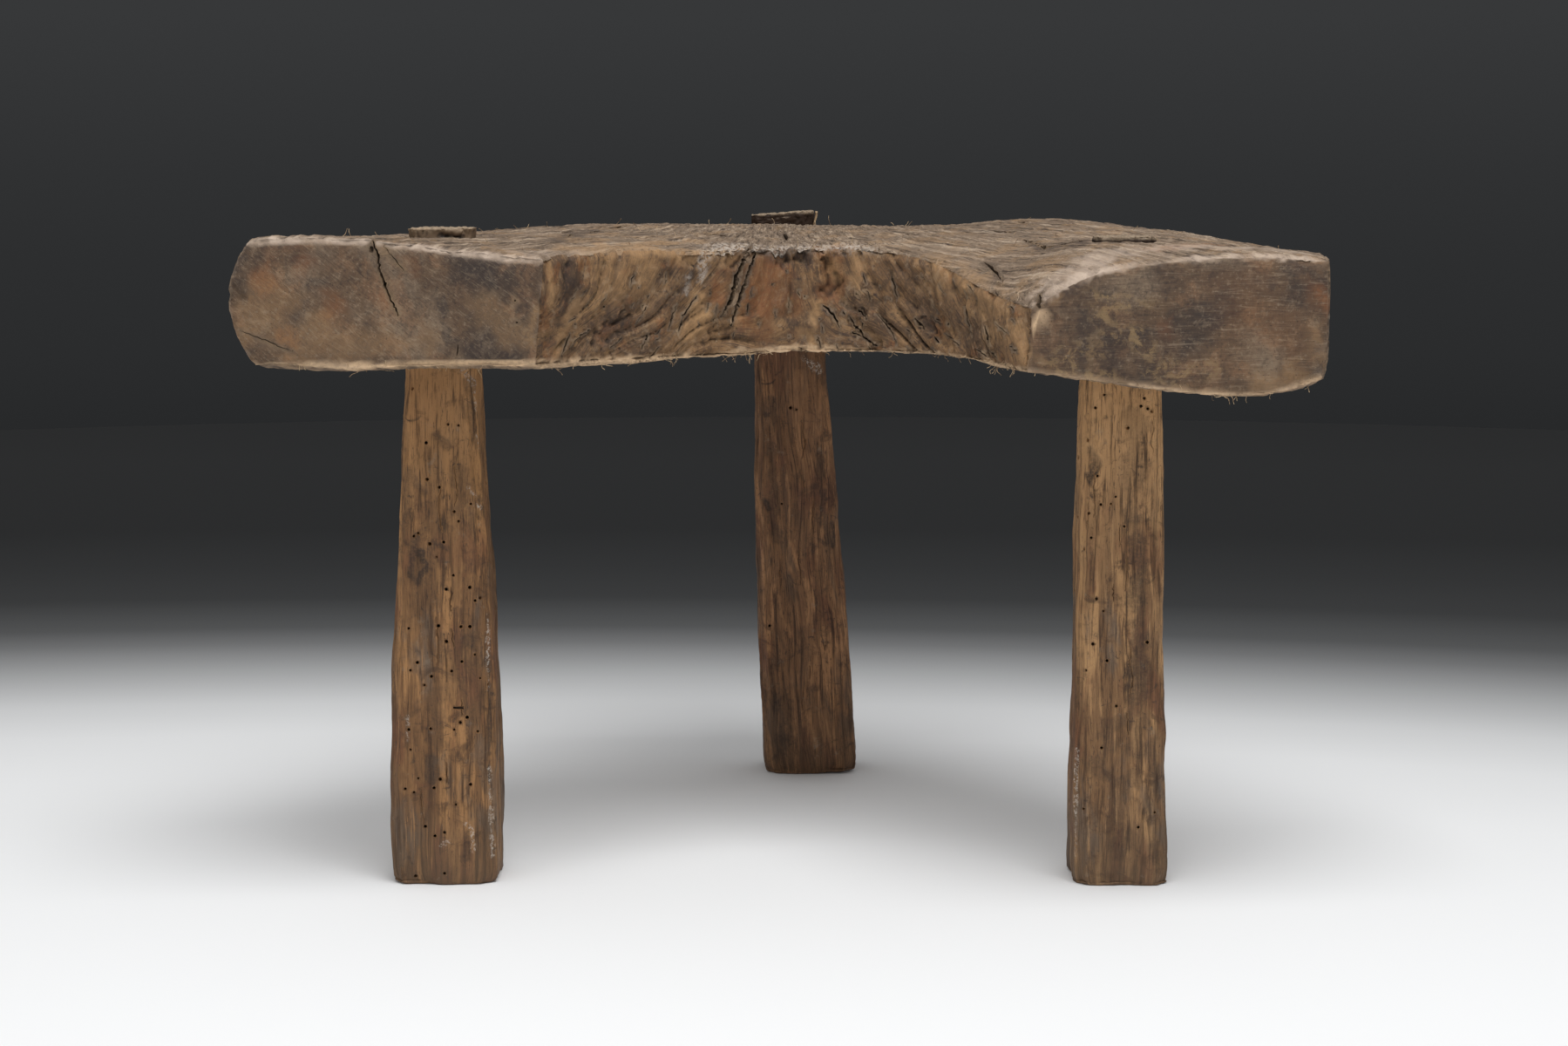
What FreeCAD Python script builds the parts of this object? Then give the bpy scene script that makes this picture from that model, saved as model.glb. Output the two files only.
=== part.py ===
import FreeCAD, Part
import os

os.makedirs("parts", exist_ok=True)

# Three-legged stool hewn from a forked slab of wood, in millimetres.
# X runs across the fork, Y from the sawn ends of the prongs to the end of the stem, Z up.
# The legs are tapered posts that go right through the slab and jam in their mortises.

Vector = FreeCAD.Vector

# Seat slab
seat_width = 600.0
seat_depth = 425.0
seat_height = 372.0
slab_thickness = 70.0
stem_width = 172.0
fork_width = 265.0
fork_depth = 130.0
fork_offset = 8.5
left_prong_setback = 20.0
left_waney_bulge = 31.0
right_waney_bulge = 6.0
crotch_hollow = 4.0
crotch_lean = 6.0

# Sides of the prongs from their sawn ends back: shares of half the seat width and of the way
# to the end of the stem
left_side_shares = ((0.992, 0.0), (0.98, 0.123), (0.893, 0.321), (0.727, 0.494), (0.483, 0.654))
right_side_shares = ((0.992, 0.0), (0.983, 0.235), (0.873, 0.4), (0.686, 0.595), (0.534, 0.741))
# Sides of the stem: shares of half its width and of the same way
left_stem_shares = ((1.2, 0.815), (1.0, 1.0))
right_stem_shares = ((1.22, 0.85), (1.02, 1.0))
# Crotch from the left prong to the right one: shares of half the fork width and of its depth
crotch_shares = (
    (-0.95, 0.3), (-0.576, 0.61), (-0.155, 0.9), (0.19, 1.0), (0.55, 0.8), (0.75, 0.47), (0.88, 0.22),
)

# Hewn faces of the slab, measured in a grid: shares of half the seat width across,
# and of the seat depth from front to back
across_shares = (-1.05, -0.65, -0.43, 0.0, 0.4, 0.52, 0.68, 0.93, 1.03)
along_shares = (-0.005, 0.118, 0.306, 0.447, 0.706, 1.04)
# Wear of the top below the seat height, as shares of the thickness, one row for each place along
top_wear_shares = (
    (0.09, 0.045, 0.21, 0.40, 0.74, 0.39, 0.205, 0.15, 0.20),
    (0.05, 0.04, 0.11, 0.23, 0.36, 0.125, 0.065, 0.11, 0.17),
    (0.04, 0.03, 0.03, 0.13, 0.09, 0.055, 0.03, 0.11, 0.16),
    (0.03, 0.03, 0.01, 0.04, 0.01, 0.00, 0.00, 0.06, 0.12),
    (0.01, 0.01, -0.01, 0.01, -0.015, -0.05, -0.045, 0.01, 0.06),
    (0.03, 0.02, 0.01, 0.06, 0.04, 0.03, 0.02, 0.04, 0.08),
)
# Wear of the underside above its lowest nominal level, as shares of the thickness
underside_wear_shares = (
    (0.06, 0.05, 0.04, 0.01, -0.02, -0.09, -0.17, -0.17, 0.08),
    (-0.02, -0.05, -0.03, 0.00, -0.01, -0.05, -0.13, -0.12, 0.10),
    (0.01, -0.02, -0.01, -0.01, -0.01, -0.04, -0.08, -0.08, 0.10),
    (0.00, -0.01, -0.01, -0.01, -0.03, -0.04, -0.06, -0.05, 0.09),
    (0.00, -0.03, -0.04, -0.04, -0.04, -0.04, -0.03, -0.02, 0.08),
    (0.00, -0.03, -0.04, -0.04, -0.03, -0.02, -0.01, 0.00, 0.08),
)

# Front left leg
left_foot_width = 62.5
left_foot_depth = 58.0
left_head_width = 34.0
left_head_depth = 37.0
left_leg_share = 0.629
left_leg_setback = 75.0
left_foot_shift = -2.0
left_foot_splay = 6.0
left_tenon_proud = 3.5
left_head_flare = 1.2
left_head_rim = 2.0

# Front right leg
right_foot_width = 56.5
right_foot_depth = 56.0
right_head_width = 34.0
right_head_depth = 36.0
right_leg_share = 0.653
right_leg_setback = 84.0
right_foot_shift = 2.5
right_foot_splay = 13.0
right_leg_bow = -2.0
right_tenon_sunk = 1.0

# Rear leg
rear_foot_width = 64.0
rear_foot_depth = 54.0
rear_head_width = 38.6
rear_head_depth = 38.0
rear_leg_offset = 2.8
rear_leg_share = 0.845
rear_foot_shift = 20.0
rear_foot_splay = 57.0
rear_tenon_proud = 9.0

# Taper of the legs from foot to head: shares of the height, and of the change in width there
left_taper_shares = ((0.0, 0.0), (0.2, 0.04), (0.4, 0.19), (0.6, 0.5), (0.8, 0.76), (1.0, 1.0))
right_taper_shares = ((0.0, 0.0), (0.2, 0.19), (0.4, 0.32), (0.6, 0.37), (0.8, 0.6), (1.0, 1.0))
rear_taper_shares = ((0.0, 0.0), (0.2, 0.09), (0.4, 0.27), (0.6, 0.5), (0.8, 0.74), (1.0, 1.0))
# Hewn corners of a leg, as shares of its width and depth, from front left round to back left
corner_shares = ((0.1, 0.13), (0.14, 0.12), (0.2, 0.16), (0.17, 0.2))

# Fit of the joints
mortise_clearance = 0.25
mortise_gap = 3.2
mortise_gap_depth = 22.0
left_gap_width = 13.0

# Wedge beside the rear tenon
wedge_width = 27.0
wedge_length = 52.0
wedge_head = 3.4
wedge_tip = 1.4
wedge_lean = 1.0
wedge_below_tenon = 1.2

# Splits in the slab. Each has its greatest gap, its depth, its places along its line and how
# far it gapes at each of them, as shares of that gap
check_gap = 2.8
check_depth = 42.0
# On the left sawn end: shares of the prong's width across and of the thickness down
check_place_shares = ((0.45, 0.02), (0.475, 0.27), (0.508, 0.48), (0.535, 0.63))
check_gape_shares = (1.0, 0.9, 0.7, 0.15)
top_crack_gap = 3.0
top_crack_depth = 18.0
# On top, from the right mortise inwards: shares of the tenon's width and depth
top_crack_place_shares = ((0.0, 0.0), (0.4, 0.25), (0.78, 0.75), (1.2, 1.5))
top_crack_gape_shares = (1.0, 0.7, 0.9, 0.15)
fissure_gap = 3.0
fissure_depth = 28.0
# In the crotch: shares of half the fork width across and of the thickness down
fissure_place_shares = (
    ((-0.345, 0.70), (-0.286, 0.42), (-0.252, 0.15)),
    ((-0.286, 0.68), (-0.264, 0.50), (-0.211, 0.20)),
)
fissure_gape_shares = (0.15, 1.0, 0.3)
# Where a fissure's cut starts in the open fork, as a share of the fork depth
fissure_start_share = 0.76
# How far a split still gapes at its bottom, as a share of its gap at the surface
split_bottom_share = 0.12

# Overrun of every cutting body
overrun = 20.0

half_width = seat_width / 2
half_fork = fork_width / 2
half_stem = stem_width / 2
underside = seat_height - slab_thickness


def spline(points):
    """Smooth edge through points."""
    curve = Part.BSplineCurve()
    curve.interpolate(points)
    return curve.toShape()


def outline(level, left_inset, right_inset, hollow):
    """One plan outline of the slab at a height, as lines and smooth curves."""
    fork_middle = fork_offset - crotch_lean * (seat_height - level) / slab_thickness
    left_run = seat_depth - left_prong_setback
    left = [Vector(left_inset - share * half_width, left_prong_setback + way * left_run, level)
            for share, way in left_side_shares]
    left += [Vector(-share * half_stem, left_prong_setback + way * left_run, level)
             for share, way in left_stem_shares]
    right = [Vector(share * half_width - right_inset, way * seat_depth, level)
             for share, way in right_side_shares]
    right += [Vector(share * half_stem, way * seat_depth, level) for share, way in right_stem_shares]
    left_mouth = Vector(fork_middle - half_fork, left_prong_setback, level)
    right_mouth = Vector(fork_middle + half_fork, 0, level)
    crotch = [Vector(fork_middle + share * half_fork, depth * (fork_depth + hollow), level)
              for share, depth in crotch_shares]
    edges = [
        Part.makeLine(left[0], left_mouth),
        spline([left_mouth] + crotch + [right_mouth]),
        Part.makeLine(right_mouth, right[0]),
        spline(right),
        Part.makeLine(right[-1], left[-1]),
        spline(left[::-1]),
    ]
    return Part.Wire(edges)


def hewn_section(along, top_row, underside_row):
    """Closed section across the slab between its hewn top and underside."""
    places = [share * half_width for share in across_shares]
    top = [Vector(x, along * seat_depth, seat_height - wear * slab_thickness)
           for x, wear in zip(places, top_row)]
    below = [Vector(x, along * seat_depth, underside + wear * slab_thickness)
             for x, wear in zip(places, underside_row)]
    edges = [
        spline(top),
        Part.makeLine(top[-1], below[-1]),
        spline(below[::-1]),
        Part.makeLine(below[0], top[0]),
    ]
    return Part.Wire(edges)


def slab():
    """Forked slab: waney sides and crotch lofted in height, trimmed by its hewn faces."""
    sides = Part.makeLoft([
        outline(underside - overrun, left_waney_bulge, right_waney_bulge, 0),
        outline(underside + slab_thickness / 2, 0, 0, crotch_hollow),
        outline(seat_height + overrun, left_waney_bulge, right_waney_bulge, 0),
    ], True, False)
    rows = zip(along_shares, top_wear_shares, underside_wear_shares)
    faces = Part.makeLoft([hewn_section(*row) for row in rows], True, False)
    return sides.common(faces)


def post_section(centre, width, depth):
    """Hewn section of a leg: a rectangle with four uneven flats on its corners."""
    front_left, front_right, back_right, back_left = [
        (across * width, along * depth) for across, along in corner_shares]
    left, right = -width / 2, width / 2
    front, back = -depth / 2, depth / 2
    corners = [
        (left, front + front_left[1]), (left + front_left[0], front),
        (right - front_right[0], front), (right, front + front_right[1]),
        (right, back - back_right[1]), (right - back_right[0], back),
        (left + back_left[0], back), (left, back - back_left[1]),
    ]
    points = [centre + Vector(x, y, 0) for x, y in corners]
    return Part.makePolygon(points + [points[0]])


class Leg:
    """Tapered post from its foot on the floor to the head of its through tenon."""

    def __init__(self, foot, head, foot_size, head_size, taper, bow):
        self.foot = foot
        self.head = head
        self.foot_size = foot_size
        self.head_size = head_size
        self.taper = taper
        self.bow = bow

    def centre(self, share):
        """Middle of the post at a share of its height, with the slight bow of its grain."""
        line = self.foot + (self.head - self.foot) * share
        return line + Vector(self.bow * 4 * share * (1 - share), 0, 0)

    def solid(self, clearance, extra):
        """The post, or with clearance and extra length the mortise that it jams in."""
        sections = []
        for share, change in self.taper:
            width = self.foot_size[0] + (self.head_size[0] - self.foot_size[0]) * change + 2 * clearance
            depth = self.foot_size[1] + (self.head_size[1] - self.foot_size[1]) * change + 2 * clearance
            sections.append(post_section(self.centre(share), width, depth))
        post = Part.makeLoft(sections, True, False)
        if extra > 0:
            post = post.fuse(Part.Face(sections[-1]).extrude(Vector(0, 0, extra)))
        return post


def make_legs():
    """The three legs, placed from the prongs and the stem that carry them."""
    left_head = Vector(-left_leg_share * half_width, left_prong_setback + left_leg_setback,
                       seat_height + left_tenon_proud)
    left_foot = Vector(left_head.x + left_foot_shift, left_head.y + left_foot_splay, 0)
    right_head = Vector(right_leg_share * half_width, right_leg_setback, seat_height - right_tenon_sunk)
    right_foot = Vector(right_head.x + right_foot_shift, right_head.y + right_foot_splay, 0)
    rear_head = Vector(rear_leg_offset, rear_leg_share * seat_depth, seat_height + rear_tenon_proud)
    rear_foot = Vector(rear_head.x + rear_foot_shift, rear_head.y + rear_foot_splay, 0)
    return (
        Leg(left_foot, left_head, (left_foot_width, left_foot_depth),
            (left_head_width, left_head_depth), left_taper_shares, 0),
        Leg(right_foot, right_head, (right_foot_width, right_foot_depth),
            (right_head_width, right_head_depth), right_taper_shares, right_leg_bow),
        Leg(rear_foot, rear_head, (rear_foot_width, rear_foot_depth),
            (rear_head_width, rear_head_depth), rear_taper_shares, 0),
    )


def mushroomed_head(leg):
    """Rim at the top of the left tenon that blows have spread outwards."""
    low = leg.head - Vector(0, 0, left_head_rim)
    sections = [
        post_section(low, left_head_width, left_head_depth),
        post_section(leg.head, left_head_width + 2 * left_head_flare, left_head_depth + 2 * left_head_flare),
    ]
    return Part.makeLoft(sections, True, True)


def rectangle(left, right, front, back, level):
    """Level rectangle between two places across and two along."""
    corners = [Vector(left, front, level), Vector(right, front, level),
               Vector(right, back, level), Vector(left, back, level)]
    return Part.makePolygon(corners + [corners[0]])


def gap_before(leg, width):
    """Open gap in front of a tenon, closing downwards into the mortise."""
    front = leg.head.y - leg.head_size[1] / 2
    left, right = leg.head.x - width / 2, leg.head.x + width / 2
    steps = ((leg.head.z + overrun, mortise_gap), (seat_height, mortise_gap),
             (seat_height - mortise_gap_depth, mortise_clearance))
    sections = [rectangle(left, right, front - gap, leg.head.y, level) for level, gap in steps]
    return Part.makeLoft(sections, True, True)


def wedge_blank(leg, clearance):
    """Wedge along the right side of the rear tenon, thin at its tip, or the slot it is driven in."""
    top = leg.head.z - wedge_below_tenon
    half_head = leg.head_size[0] / 2
    reach = wedge_width / 2 + clearance
    sections = []
    for level, thickness in ((top - wedge_length, wedge_tip), (top, wedge_head + wedge_lean)):
        middle = leg.centre(level / leg.head.z)
        outer = middle.x + half_head + thickness + clearance
        sections.append(rectangle(leg.head.x, outer, middle.y - reach, middle.y + reach, level - clearance))
    return Part.makeLoft(sections, True, True)


def split(points, gap, gape_shares, across, into):
    """Tapering split along a line of points that opens across and closes in the direction given."""
    sections = []
    for share, shift in ((1.0, into * -split_bottom_share), (split_bottom_share, into)):
        gapes = [across * (gap / 2 * share * gape) for gape in gape_shares]
        one_side = [point + gape + shift for point, gape in zip(points, gapes)]
        other_side = [point - gape + shift for point, gape in zip(points, gapes)]
        ring = one_side + other_side[::-1]
        sections.append(Part.makePolygon(ring + [ring[0]]))
    return Part.makeLoft(sections, True, True)


def end_check():
    """Drying check on the left sawn end, from the top arris down across the end grain."""
    outer = -half_width
    inner = fork_offset - half_fork
    points = [
        Vector(outer + (inner - outer) * across, left_prong_setback, seat_height - down * slab_thickness)
        for across, down in check_place_shares
    ]
    return split(points, check_gap, check_gape_shares, Vector(1, 0, 0), Vector(0, check_depth, 0))


def top_crack(leg):
    """Crack on the top that runs inwards from the front corner of the right mortise."""
    width, depth = leg.head_size
    corner = leg.head - Vector(width / 2, depth / 2, 0)
    points = [corner + Vector(-across * width, along * depth, 0) for across, along in top_crack_place_shares]
    into = Vector(0, 0, -top_crack_depth)
    return split(points, top_crack_gap, top_crack_gape_shares, Vector(0, 1, 0), into)


def fissures():
    """Slanting splits in the wall of the crotch, where the grain of the two prongs parts."""
    start = fissure_start_share * fork_depth
    into = Vector(0, fissure_depth, 0)
    cuts = []
    for places in fissure_place_shares:
        points = [Vector(fork_offset + across * half_fork, start, seat_height - down * slab_thickness)
                  for across, down in places]
        cuts.append(split(points, fissure_gap, fissure_gape_shares, Vector(1, 0, 0), into))
    return cuts


def make_seat(legs):
    """The slab with its mortises, the gaps beside the front tenons, the wedge's slot and the splits."""
    left_leg, right_leg, rear_leg = legs
    cuts = [leg.solid(mortise_clearance, overrun) for leg in legs]
    cuts.append(gap_before(left_leg, left_gap_width))
    cuts.append(gap_before(right_leg, right_head_width))
    cuts.append(wedge_blank(rear_leg, mortise_clearance))
    cuts += [end_check(), top_crack(right_leg)] + fissures()
    seat = slab()
    for cut in cuts:
        seat = seat.cut(cut)
    return seat


def make_pieces():
    """Every piece of the stool by its name."""
    legs = make_legs()
    left_leg, right_leg, rear_leg = legs
    return {
        "seat": make_seat(legs),
        "front_left_leg": left_leg.solid(0, 0).fuse(mushroomed_head(left_leg)),
        "front_right_leg": right_leg.solid(0, 0),
        "rear_leg": rear_leg.solid(0, 0),
        "rear_tenon_wedge": wedge_blank(rear_leg, 0).cut(rear_leg.solid(mortise_clearance, overrun)),
    }


def write(pieces):
    """Move the stool so that its origin is under its middle, on the floor, and write each piece."""
    box = Part.makeCompound(list(pieces.values())).optimalBoundingBox()
    shift = Vector(-box.Center.x, -box.Center.y, -box.ZMin)
    print("width, depth and height:", box.XLength, box.YLength, box.ZLength)
    print("moved by:", shift)
    for name, piece in pieces.items():
        piece.translate(shift)
        print(name, piece.isValid(), len(piece.Solids), round(piece.Volume))
        piece.exportStep("parts/" + name + ".step")


write(make_pieces())
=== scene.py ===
"""Dresses a low three-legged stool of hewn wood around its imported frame."""

import logging
import math
from dataclasses import dataclass, field
from enum import Enum
from itertools import product

import bmesh
import bpy
import numpy as np
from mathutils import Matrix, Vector


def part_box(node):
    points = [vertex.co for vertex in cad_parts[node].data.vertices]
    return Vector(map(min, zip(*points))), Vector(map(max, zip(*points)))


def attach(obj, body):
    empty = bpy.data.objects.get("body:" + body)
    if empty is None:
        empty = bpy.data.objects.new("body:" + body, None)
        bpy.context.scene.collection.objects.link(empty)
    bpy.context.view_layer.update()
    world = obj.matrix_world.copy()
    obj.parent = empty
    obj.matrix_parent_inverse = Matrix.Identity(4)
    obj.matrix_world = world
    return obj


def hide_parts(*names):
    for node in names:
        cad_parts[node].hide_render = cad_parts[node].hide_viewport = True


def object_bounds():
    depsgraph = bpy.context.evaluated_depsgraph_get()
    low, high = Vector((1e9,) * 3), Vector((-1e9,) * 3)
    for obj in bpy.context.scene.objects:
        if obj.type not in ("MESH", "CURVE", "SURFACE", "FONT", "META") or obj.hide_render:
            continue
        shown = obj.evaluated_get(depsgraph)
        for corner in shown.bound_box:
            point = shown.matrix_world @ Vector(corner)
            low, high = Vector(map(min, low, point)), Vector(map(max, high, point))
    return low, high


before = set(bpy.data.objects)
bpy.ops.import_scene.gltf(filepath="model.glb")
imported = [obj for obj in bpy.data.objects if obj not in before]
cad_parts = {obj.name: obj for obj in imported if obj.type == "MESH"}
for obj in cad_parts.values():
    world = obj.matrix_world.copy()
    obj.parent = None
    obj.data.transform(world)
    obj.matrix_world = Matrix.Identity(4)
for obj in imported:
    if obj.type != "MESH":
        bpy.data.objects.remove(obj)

LOG = logging.getLogger("stool")
MM = 0.001
Point = tuple[float, float, float]
Pixel = tuple[float, float]
Piece = bpy.types.Object
Material = bpy.types.Material
Socket = bpy.types.NodeSocket
CAD_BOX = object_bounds()
SHARP_ANGLE = 55


class Mark(Enum):
    """Names of the vertex values that the finishes read."""

    GRAIN = "grain"
    END_LEFT = "end_left"
    END_RIGHT = "end_right"
    INNER = "inner"
    TOP = "top"
    UNDER = "under"
    WORN = "worn"
    # Painted shade in hollows.
    HOLLOW = "hollow"
    DUST = "dust"
    # Painted shade on the walls of holes and cracks.
    BORE = "bore"
    # Frayed pale wood, partly a painted highlight along the lower arris.
    FRAY = "fray"
    DARK = "dark"
    PALE = "pale"
    WARM = "warm"
    LICHEN = "lichen"
    DENT = "dent"
    HEAD = "head"
    SHED = "shed"


Shares = dict[Mark, np.ndarray]


def linear(red: int, green: int, blue: int) -> tuple[float, float, float, float]:
    """Turns a display colour into the linear one that nodes take.

    Args:
        red: red part, 0 to 255.
        green: green part, 0 to 255.
        blue: blue part, 0 to 255.

    Returns:
        The colour as red, green, blue and alpha.
    """
    toe, slope, lift, power = 0.04045, 12.92, 0.055, 2.4
    parts = [part / 255 for part in (red, green, blue)]
    return tuple(p / slope if p <= toe else ((p + lift) / (1 + lift)) ** power for p in parts) + (1.0,)


def ease(value: np.ndarray, low: float, high: float) -> np.ndarray:
    """Rises smoothly from 0 at low to 1 at high.

    Args:
        value: the numbers to map.
        low: where the rise starts.
        high: where it ends.

    Returns:
        Numbers from 0 to 1.
    """
    share = np.clip((value - low) / (high - low), 0, 1)
    return share * share * (3 - 2 * share)


def bell(value: np.ndarray, middle: float, reach: float) -> np.ndarray:
    """Gives 1 at the middle, falling to 0 over a reach to both sides."""
    return np.exp(-(((value - middle) / reach) ** 2))


def placed(name: str, data: bpy.types.ID) -> Piece:
    """Makes an object and links it to the scene.

    Args:
        name: the object's name.
        data: its mesh, lamp or camera.

    Returns:
        The object, at the origin.
    """
    obj = bpy.data.objects.new(name, data)
    bpy.context.scene.collection.objects.link(obj)
    return obj


def rows(items: bpy.types.bpy_prop_collection, key: str) -> np.ndarray:
    """Reads a place or a direction of each element.

    Args:
        items: the mesh's elements.
        key: name of the property.

    Returns:
        One row of three numbers for each element.
    """
    flat = np.empty(len(items) * 3, np.float32)
    items.foreach_get(key, flat)
    return flat.reshape(-1, 3).astype(float)


def store(mesh: bpy.types.Mesh, name: str, values: np.ndarray | list) -> None:
    """Stores one value or vector for each point of a mesh.

    Args:
        mesh: the mesh.
        name: the value's name.
        values: one number or one row of three for each point.
    """
    values = np.asarray(values, np.float32)
    kind, key = ("FLOAT", "value") if values.ndim == 1 else ("FLOAT_VECTOR", "vector")
    mesh.attributes.new(name, kind, "POINT").data.foreach_set(key, values.ravel())


@dataclass(frozen=True)
class Viewpoint:
    """The photograph's camera in the stool's frame."""

    place: Point = (0.00157, -1.86156, 0.414)
    pitch: float = 6.815
    lens: float = 70.0
    sensor: float = 36.0
    width: int = 1799
    height: int = 1200

    def build(self) -> None:
        """Makes the camera and gives it to the scene."""
        camera = placed("camera", bpy.data.cameras.new("camera"))
        camera.data.lens = self.lens
        camera.data.sensor_width = self.sensor
        camera.location = self.place
        camera.rotation_euler = (math.radians(90 - self.pitch), 0, 0)
        bpy.context.scene.camera = camera

    def ray(self, pixel: Pixel) -> tuple[Vector, Vector]:
        """Gives the line of sight through a pixel of the photograph.

        Args:
            pixel: place in the photograph, from its top left corner.

        Returns:
            The camera's place and the direction of the line.
        """
        focal = self.lens / self.sensor * self.width
        right = (pixel[0] - self.width / 2) / focal
        rise = (self.height / 2 - pixel[1]) / focal
        tilt = math.radians(self.pitch)
        ahead = math.cos(tilt) + rise * math.sin(tilt)
        up = rise * math.cos(tilt) - math.sin(tilt)
        return Vector(self.place), Vector((right, ahead, up)).normalized()

    def pixel(self, point: Point) -> Pixel:
        """Says at which pixel of the photograph a point shows.

        Args:
            point: place in the stool's frame.

        Returns:
            The pixel.
        """
        focal = self.lens / self.sensor * self.width
        tilt = math.radians(self.pitch)
        right, ahead, up = (a - b for a, b in zip(point, self.place))
        far = ahead * math.cos(tilt) - up * math.sin(tilt)
        rise = ahead * math.sin(tilt) + up * math.cos(tilt)
        return self.width / 2 + focal * right / far, self.height / 2 - focal * rise / far

    def touch(self, obj: Piece, pixel: Pixel) -> tuple[Vector, Vector] | None:
        """Finds the spot of a piece that a pixel of the photograph shows.

        Args:
            obj: the piece, with its place in its mesh.
            pixel: place in the photograph.

        Returns:
            The spot and the surface's direction there, or None.
        """
        hit, spot, normal, _ = obj.ray_cast(*self.ray(pixel))
        return (spot, normal) if hit else None


class Noise:
    """Seeded smooth noise for arrays of points."""

    SIZE = 4096

    def __init__(self, seed: int) -> None:
        """Draws the tables for one seed."""
        draw = np.random.default_rng(seed)
        self.values = draw.uniform(-1, 1, self.SIZE)
        self.order = draw.permutation(self.SIZE)

    def smooth(self, points: np.ndarray, wave: Point | float) -> np.ndarray:
        """Gives one octave of noise.

        Args:
            points: places, one row each.
            wave: size of its features along each axis, in metres.

        Returns:
            Numbers from -1 to 1.
        """
        spread = points / np.asarray(wave, float)
        cell = np.floor(spread).astype(np.int64)
        part = spread - cell
        part = part * part * part * (part * (part * 6 - 15) + 10)
        total = np.zeros(len(points))
        mask = self.SIZE - 1
        for corner in product((0, 1), repeat=3):
            key = self.order[(cell[:, 0] + corner[0]) & mask]
            key = self.order[(key + cell[:, 1] + corner[1]) & mask]
            key = self.order[(key + cell[:, 2] + corner[2]) & mask]
            share = np.ones(len(points))
            for axis, side in enumerate(corner):
                share *= part[:, axis] if side else 1 - part[:, axis]
            total += share * self.values[key]
        return total

    def layered(self, points: np.ndarray, wave: Point | float, octaves: int = 3) -> np.ndarray:
        """Adds octaves of noise, each at half the size and half the strength.

        Args:
            points: places, one row each.
            wave: size of the widest features, in metres.
            octaves: how many to add.

        Returns:
            Numbers from about -1 to 1.
        """
        wave = np.asarray(wave, float)
        sums = [self.smooth(points + step, wave / 2**step) / 2**step for step in range(octaves)]
        return np.sum(sums, axis=0) / (2 - 0.5 ** (octaves - 1))

    def ridged(self, points: np.ndarray, wave: Point | float, octaves: int = 2) -> np.ndarray:
        """Gives narrow furrows between broad backs, from 0 in a furrow to 1."""
        return np.clip(np.abs(self.layered(points, wave, octaves)) * 3, 0, 1)


class Surface:
    """A mesh as arrays of points and normals that can be pushed in and out."""

    def __init__(self, obj: Piece, node: str) -> None:
        """Reads the piece's mesh, and its limits from the CAD node.

        Args:
            obj: the piece.
            node: the CAD node that it stands for.
        """
        self.obj = obj
        mesh = obj.data
        self.points = rows(mesh.vertices, "co")
        self.ends = np.empty(len(mesh.edges) * 2, np.int32)
        mesh.edges.foreach_get("vertices", self.ends)
        self.ends = self.ends.reshape(-1, 2)
        self.degree = np.bincount(self.ends.ravel(), minlength=len(self.points)).astype(float)
        self.low, self.high = (np.array(corner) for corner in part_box(node))
        self.normals = rows(mesh.vertex_normals, "vector")

    def averaged(self, values: np.ndarray, rounds: int) -> np.ndarray:
        """Spreads values over neighbouring points.

        Args:
            values: one row for each point.
            rounds: how often each point takes its neighbours' mean.

        Returns:
            The spread values.
        """
        one, two = self.ends[:, 0], self.ends[:, 1]
        flat = values.reshape(len(values), -1).astype(float)
        for _ in range(rounds):
            new = np.empty_like(flat)
            for column in range(flat.shape[1]):
                layer = flat[:, column]
                total = np.bincount(one, layer[two], len(layer)) + np.bincount(two, layer[one], len(layer))
                new[:, column] = total / self.degree
            flat = 0.5 * (flat + new)
        return flat.reshape(values.shape)

    def relief(self, rounds: int) -> np.ndarray:
        """Says how far each point stands over its surroundings, in metres."""
        return np.einsum("ij,ij->i", self.points - self.averaged(self.points, rounds), self.normals)

    def push(self, amount: np.ndarray) -> None:
        """Moves the points out by an amount in metres, within the CAD node's box."""
        self.points += self.normals * amount[:, None]
        np.clip(self.points, self.low, self.high, out=self.points)

    def write(self) -> None:
        """Puts the points back into the mesh."""
        self.obj.data.vertices.foreach_set("co", self.points.astype(np.float32).ravel())
        self.obj.data.update()
        self.normals = rows(self.obj.data.vertex_normals, "vector")

    def mark(self, name: Mark, values: np.ndarray) -> None:
        """Stores one value or one row of three for each point."""
        store(self.obj.data, name.value, values)


def merged_copy(node: str, name: str) -> Piece:
    """Copies a CAD node's mesh and merges its loose triangles.

    Args:
        node: the CAD node.
        name: the copy's name.

    Returns:
        The copy, at the origin.
    """
    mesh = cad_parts[node].data.copy()
    mesh.name = name
    mesh.materials.clear()
    shell = bmesh.new()
    shell.from_mesh(mesh)
    bmesh.ops.remove_doubles(shell, verts=shell.verts, dist=0.01 * MM)
    shell.to_mesh(mesh)
    shell.free()
    return placed(name, mesh)


def settle(obj: Piece) -> None:
    """Turns a piece's modifiers into plain mesh and takes them off.

    Args:
        obj: the piece.
    """
    graph = bpy.context.evaluated_depsgraph_get()
    graph.update()
    mesh = bpy.data.meshes.new_from_object(obj.evaluated_get(graph), preserve_all_data_layers=True,
                                           depsgraph=graph)
    old = obj.data
    obj.modifiers.clear()
    obj.data = mesh
    bpy.data.meshes.remove(old)


def apply_tree(obj: Piece, tree: bpy.types.NodeTree, given: dict[str, object]) -> None:
    """Runs a geometry tree on a piece and keeps the result as plain mesh.

    Args:
        obj: the piece.
        tree: the node tree.
        given: the tree's inputs by name.
    """
    modifier = obj.modifiers.new(tree.name, "NODES")
    modifier.node_group = tree
    for item in tree.interface.items_tree:
        if item.in_out == "INPUT" and item.name in given:
            modifier[item.identifier] = given[item.name]
    settle(obj)


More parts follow.
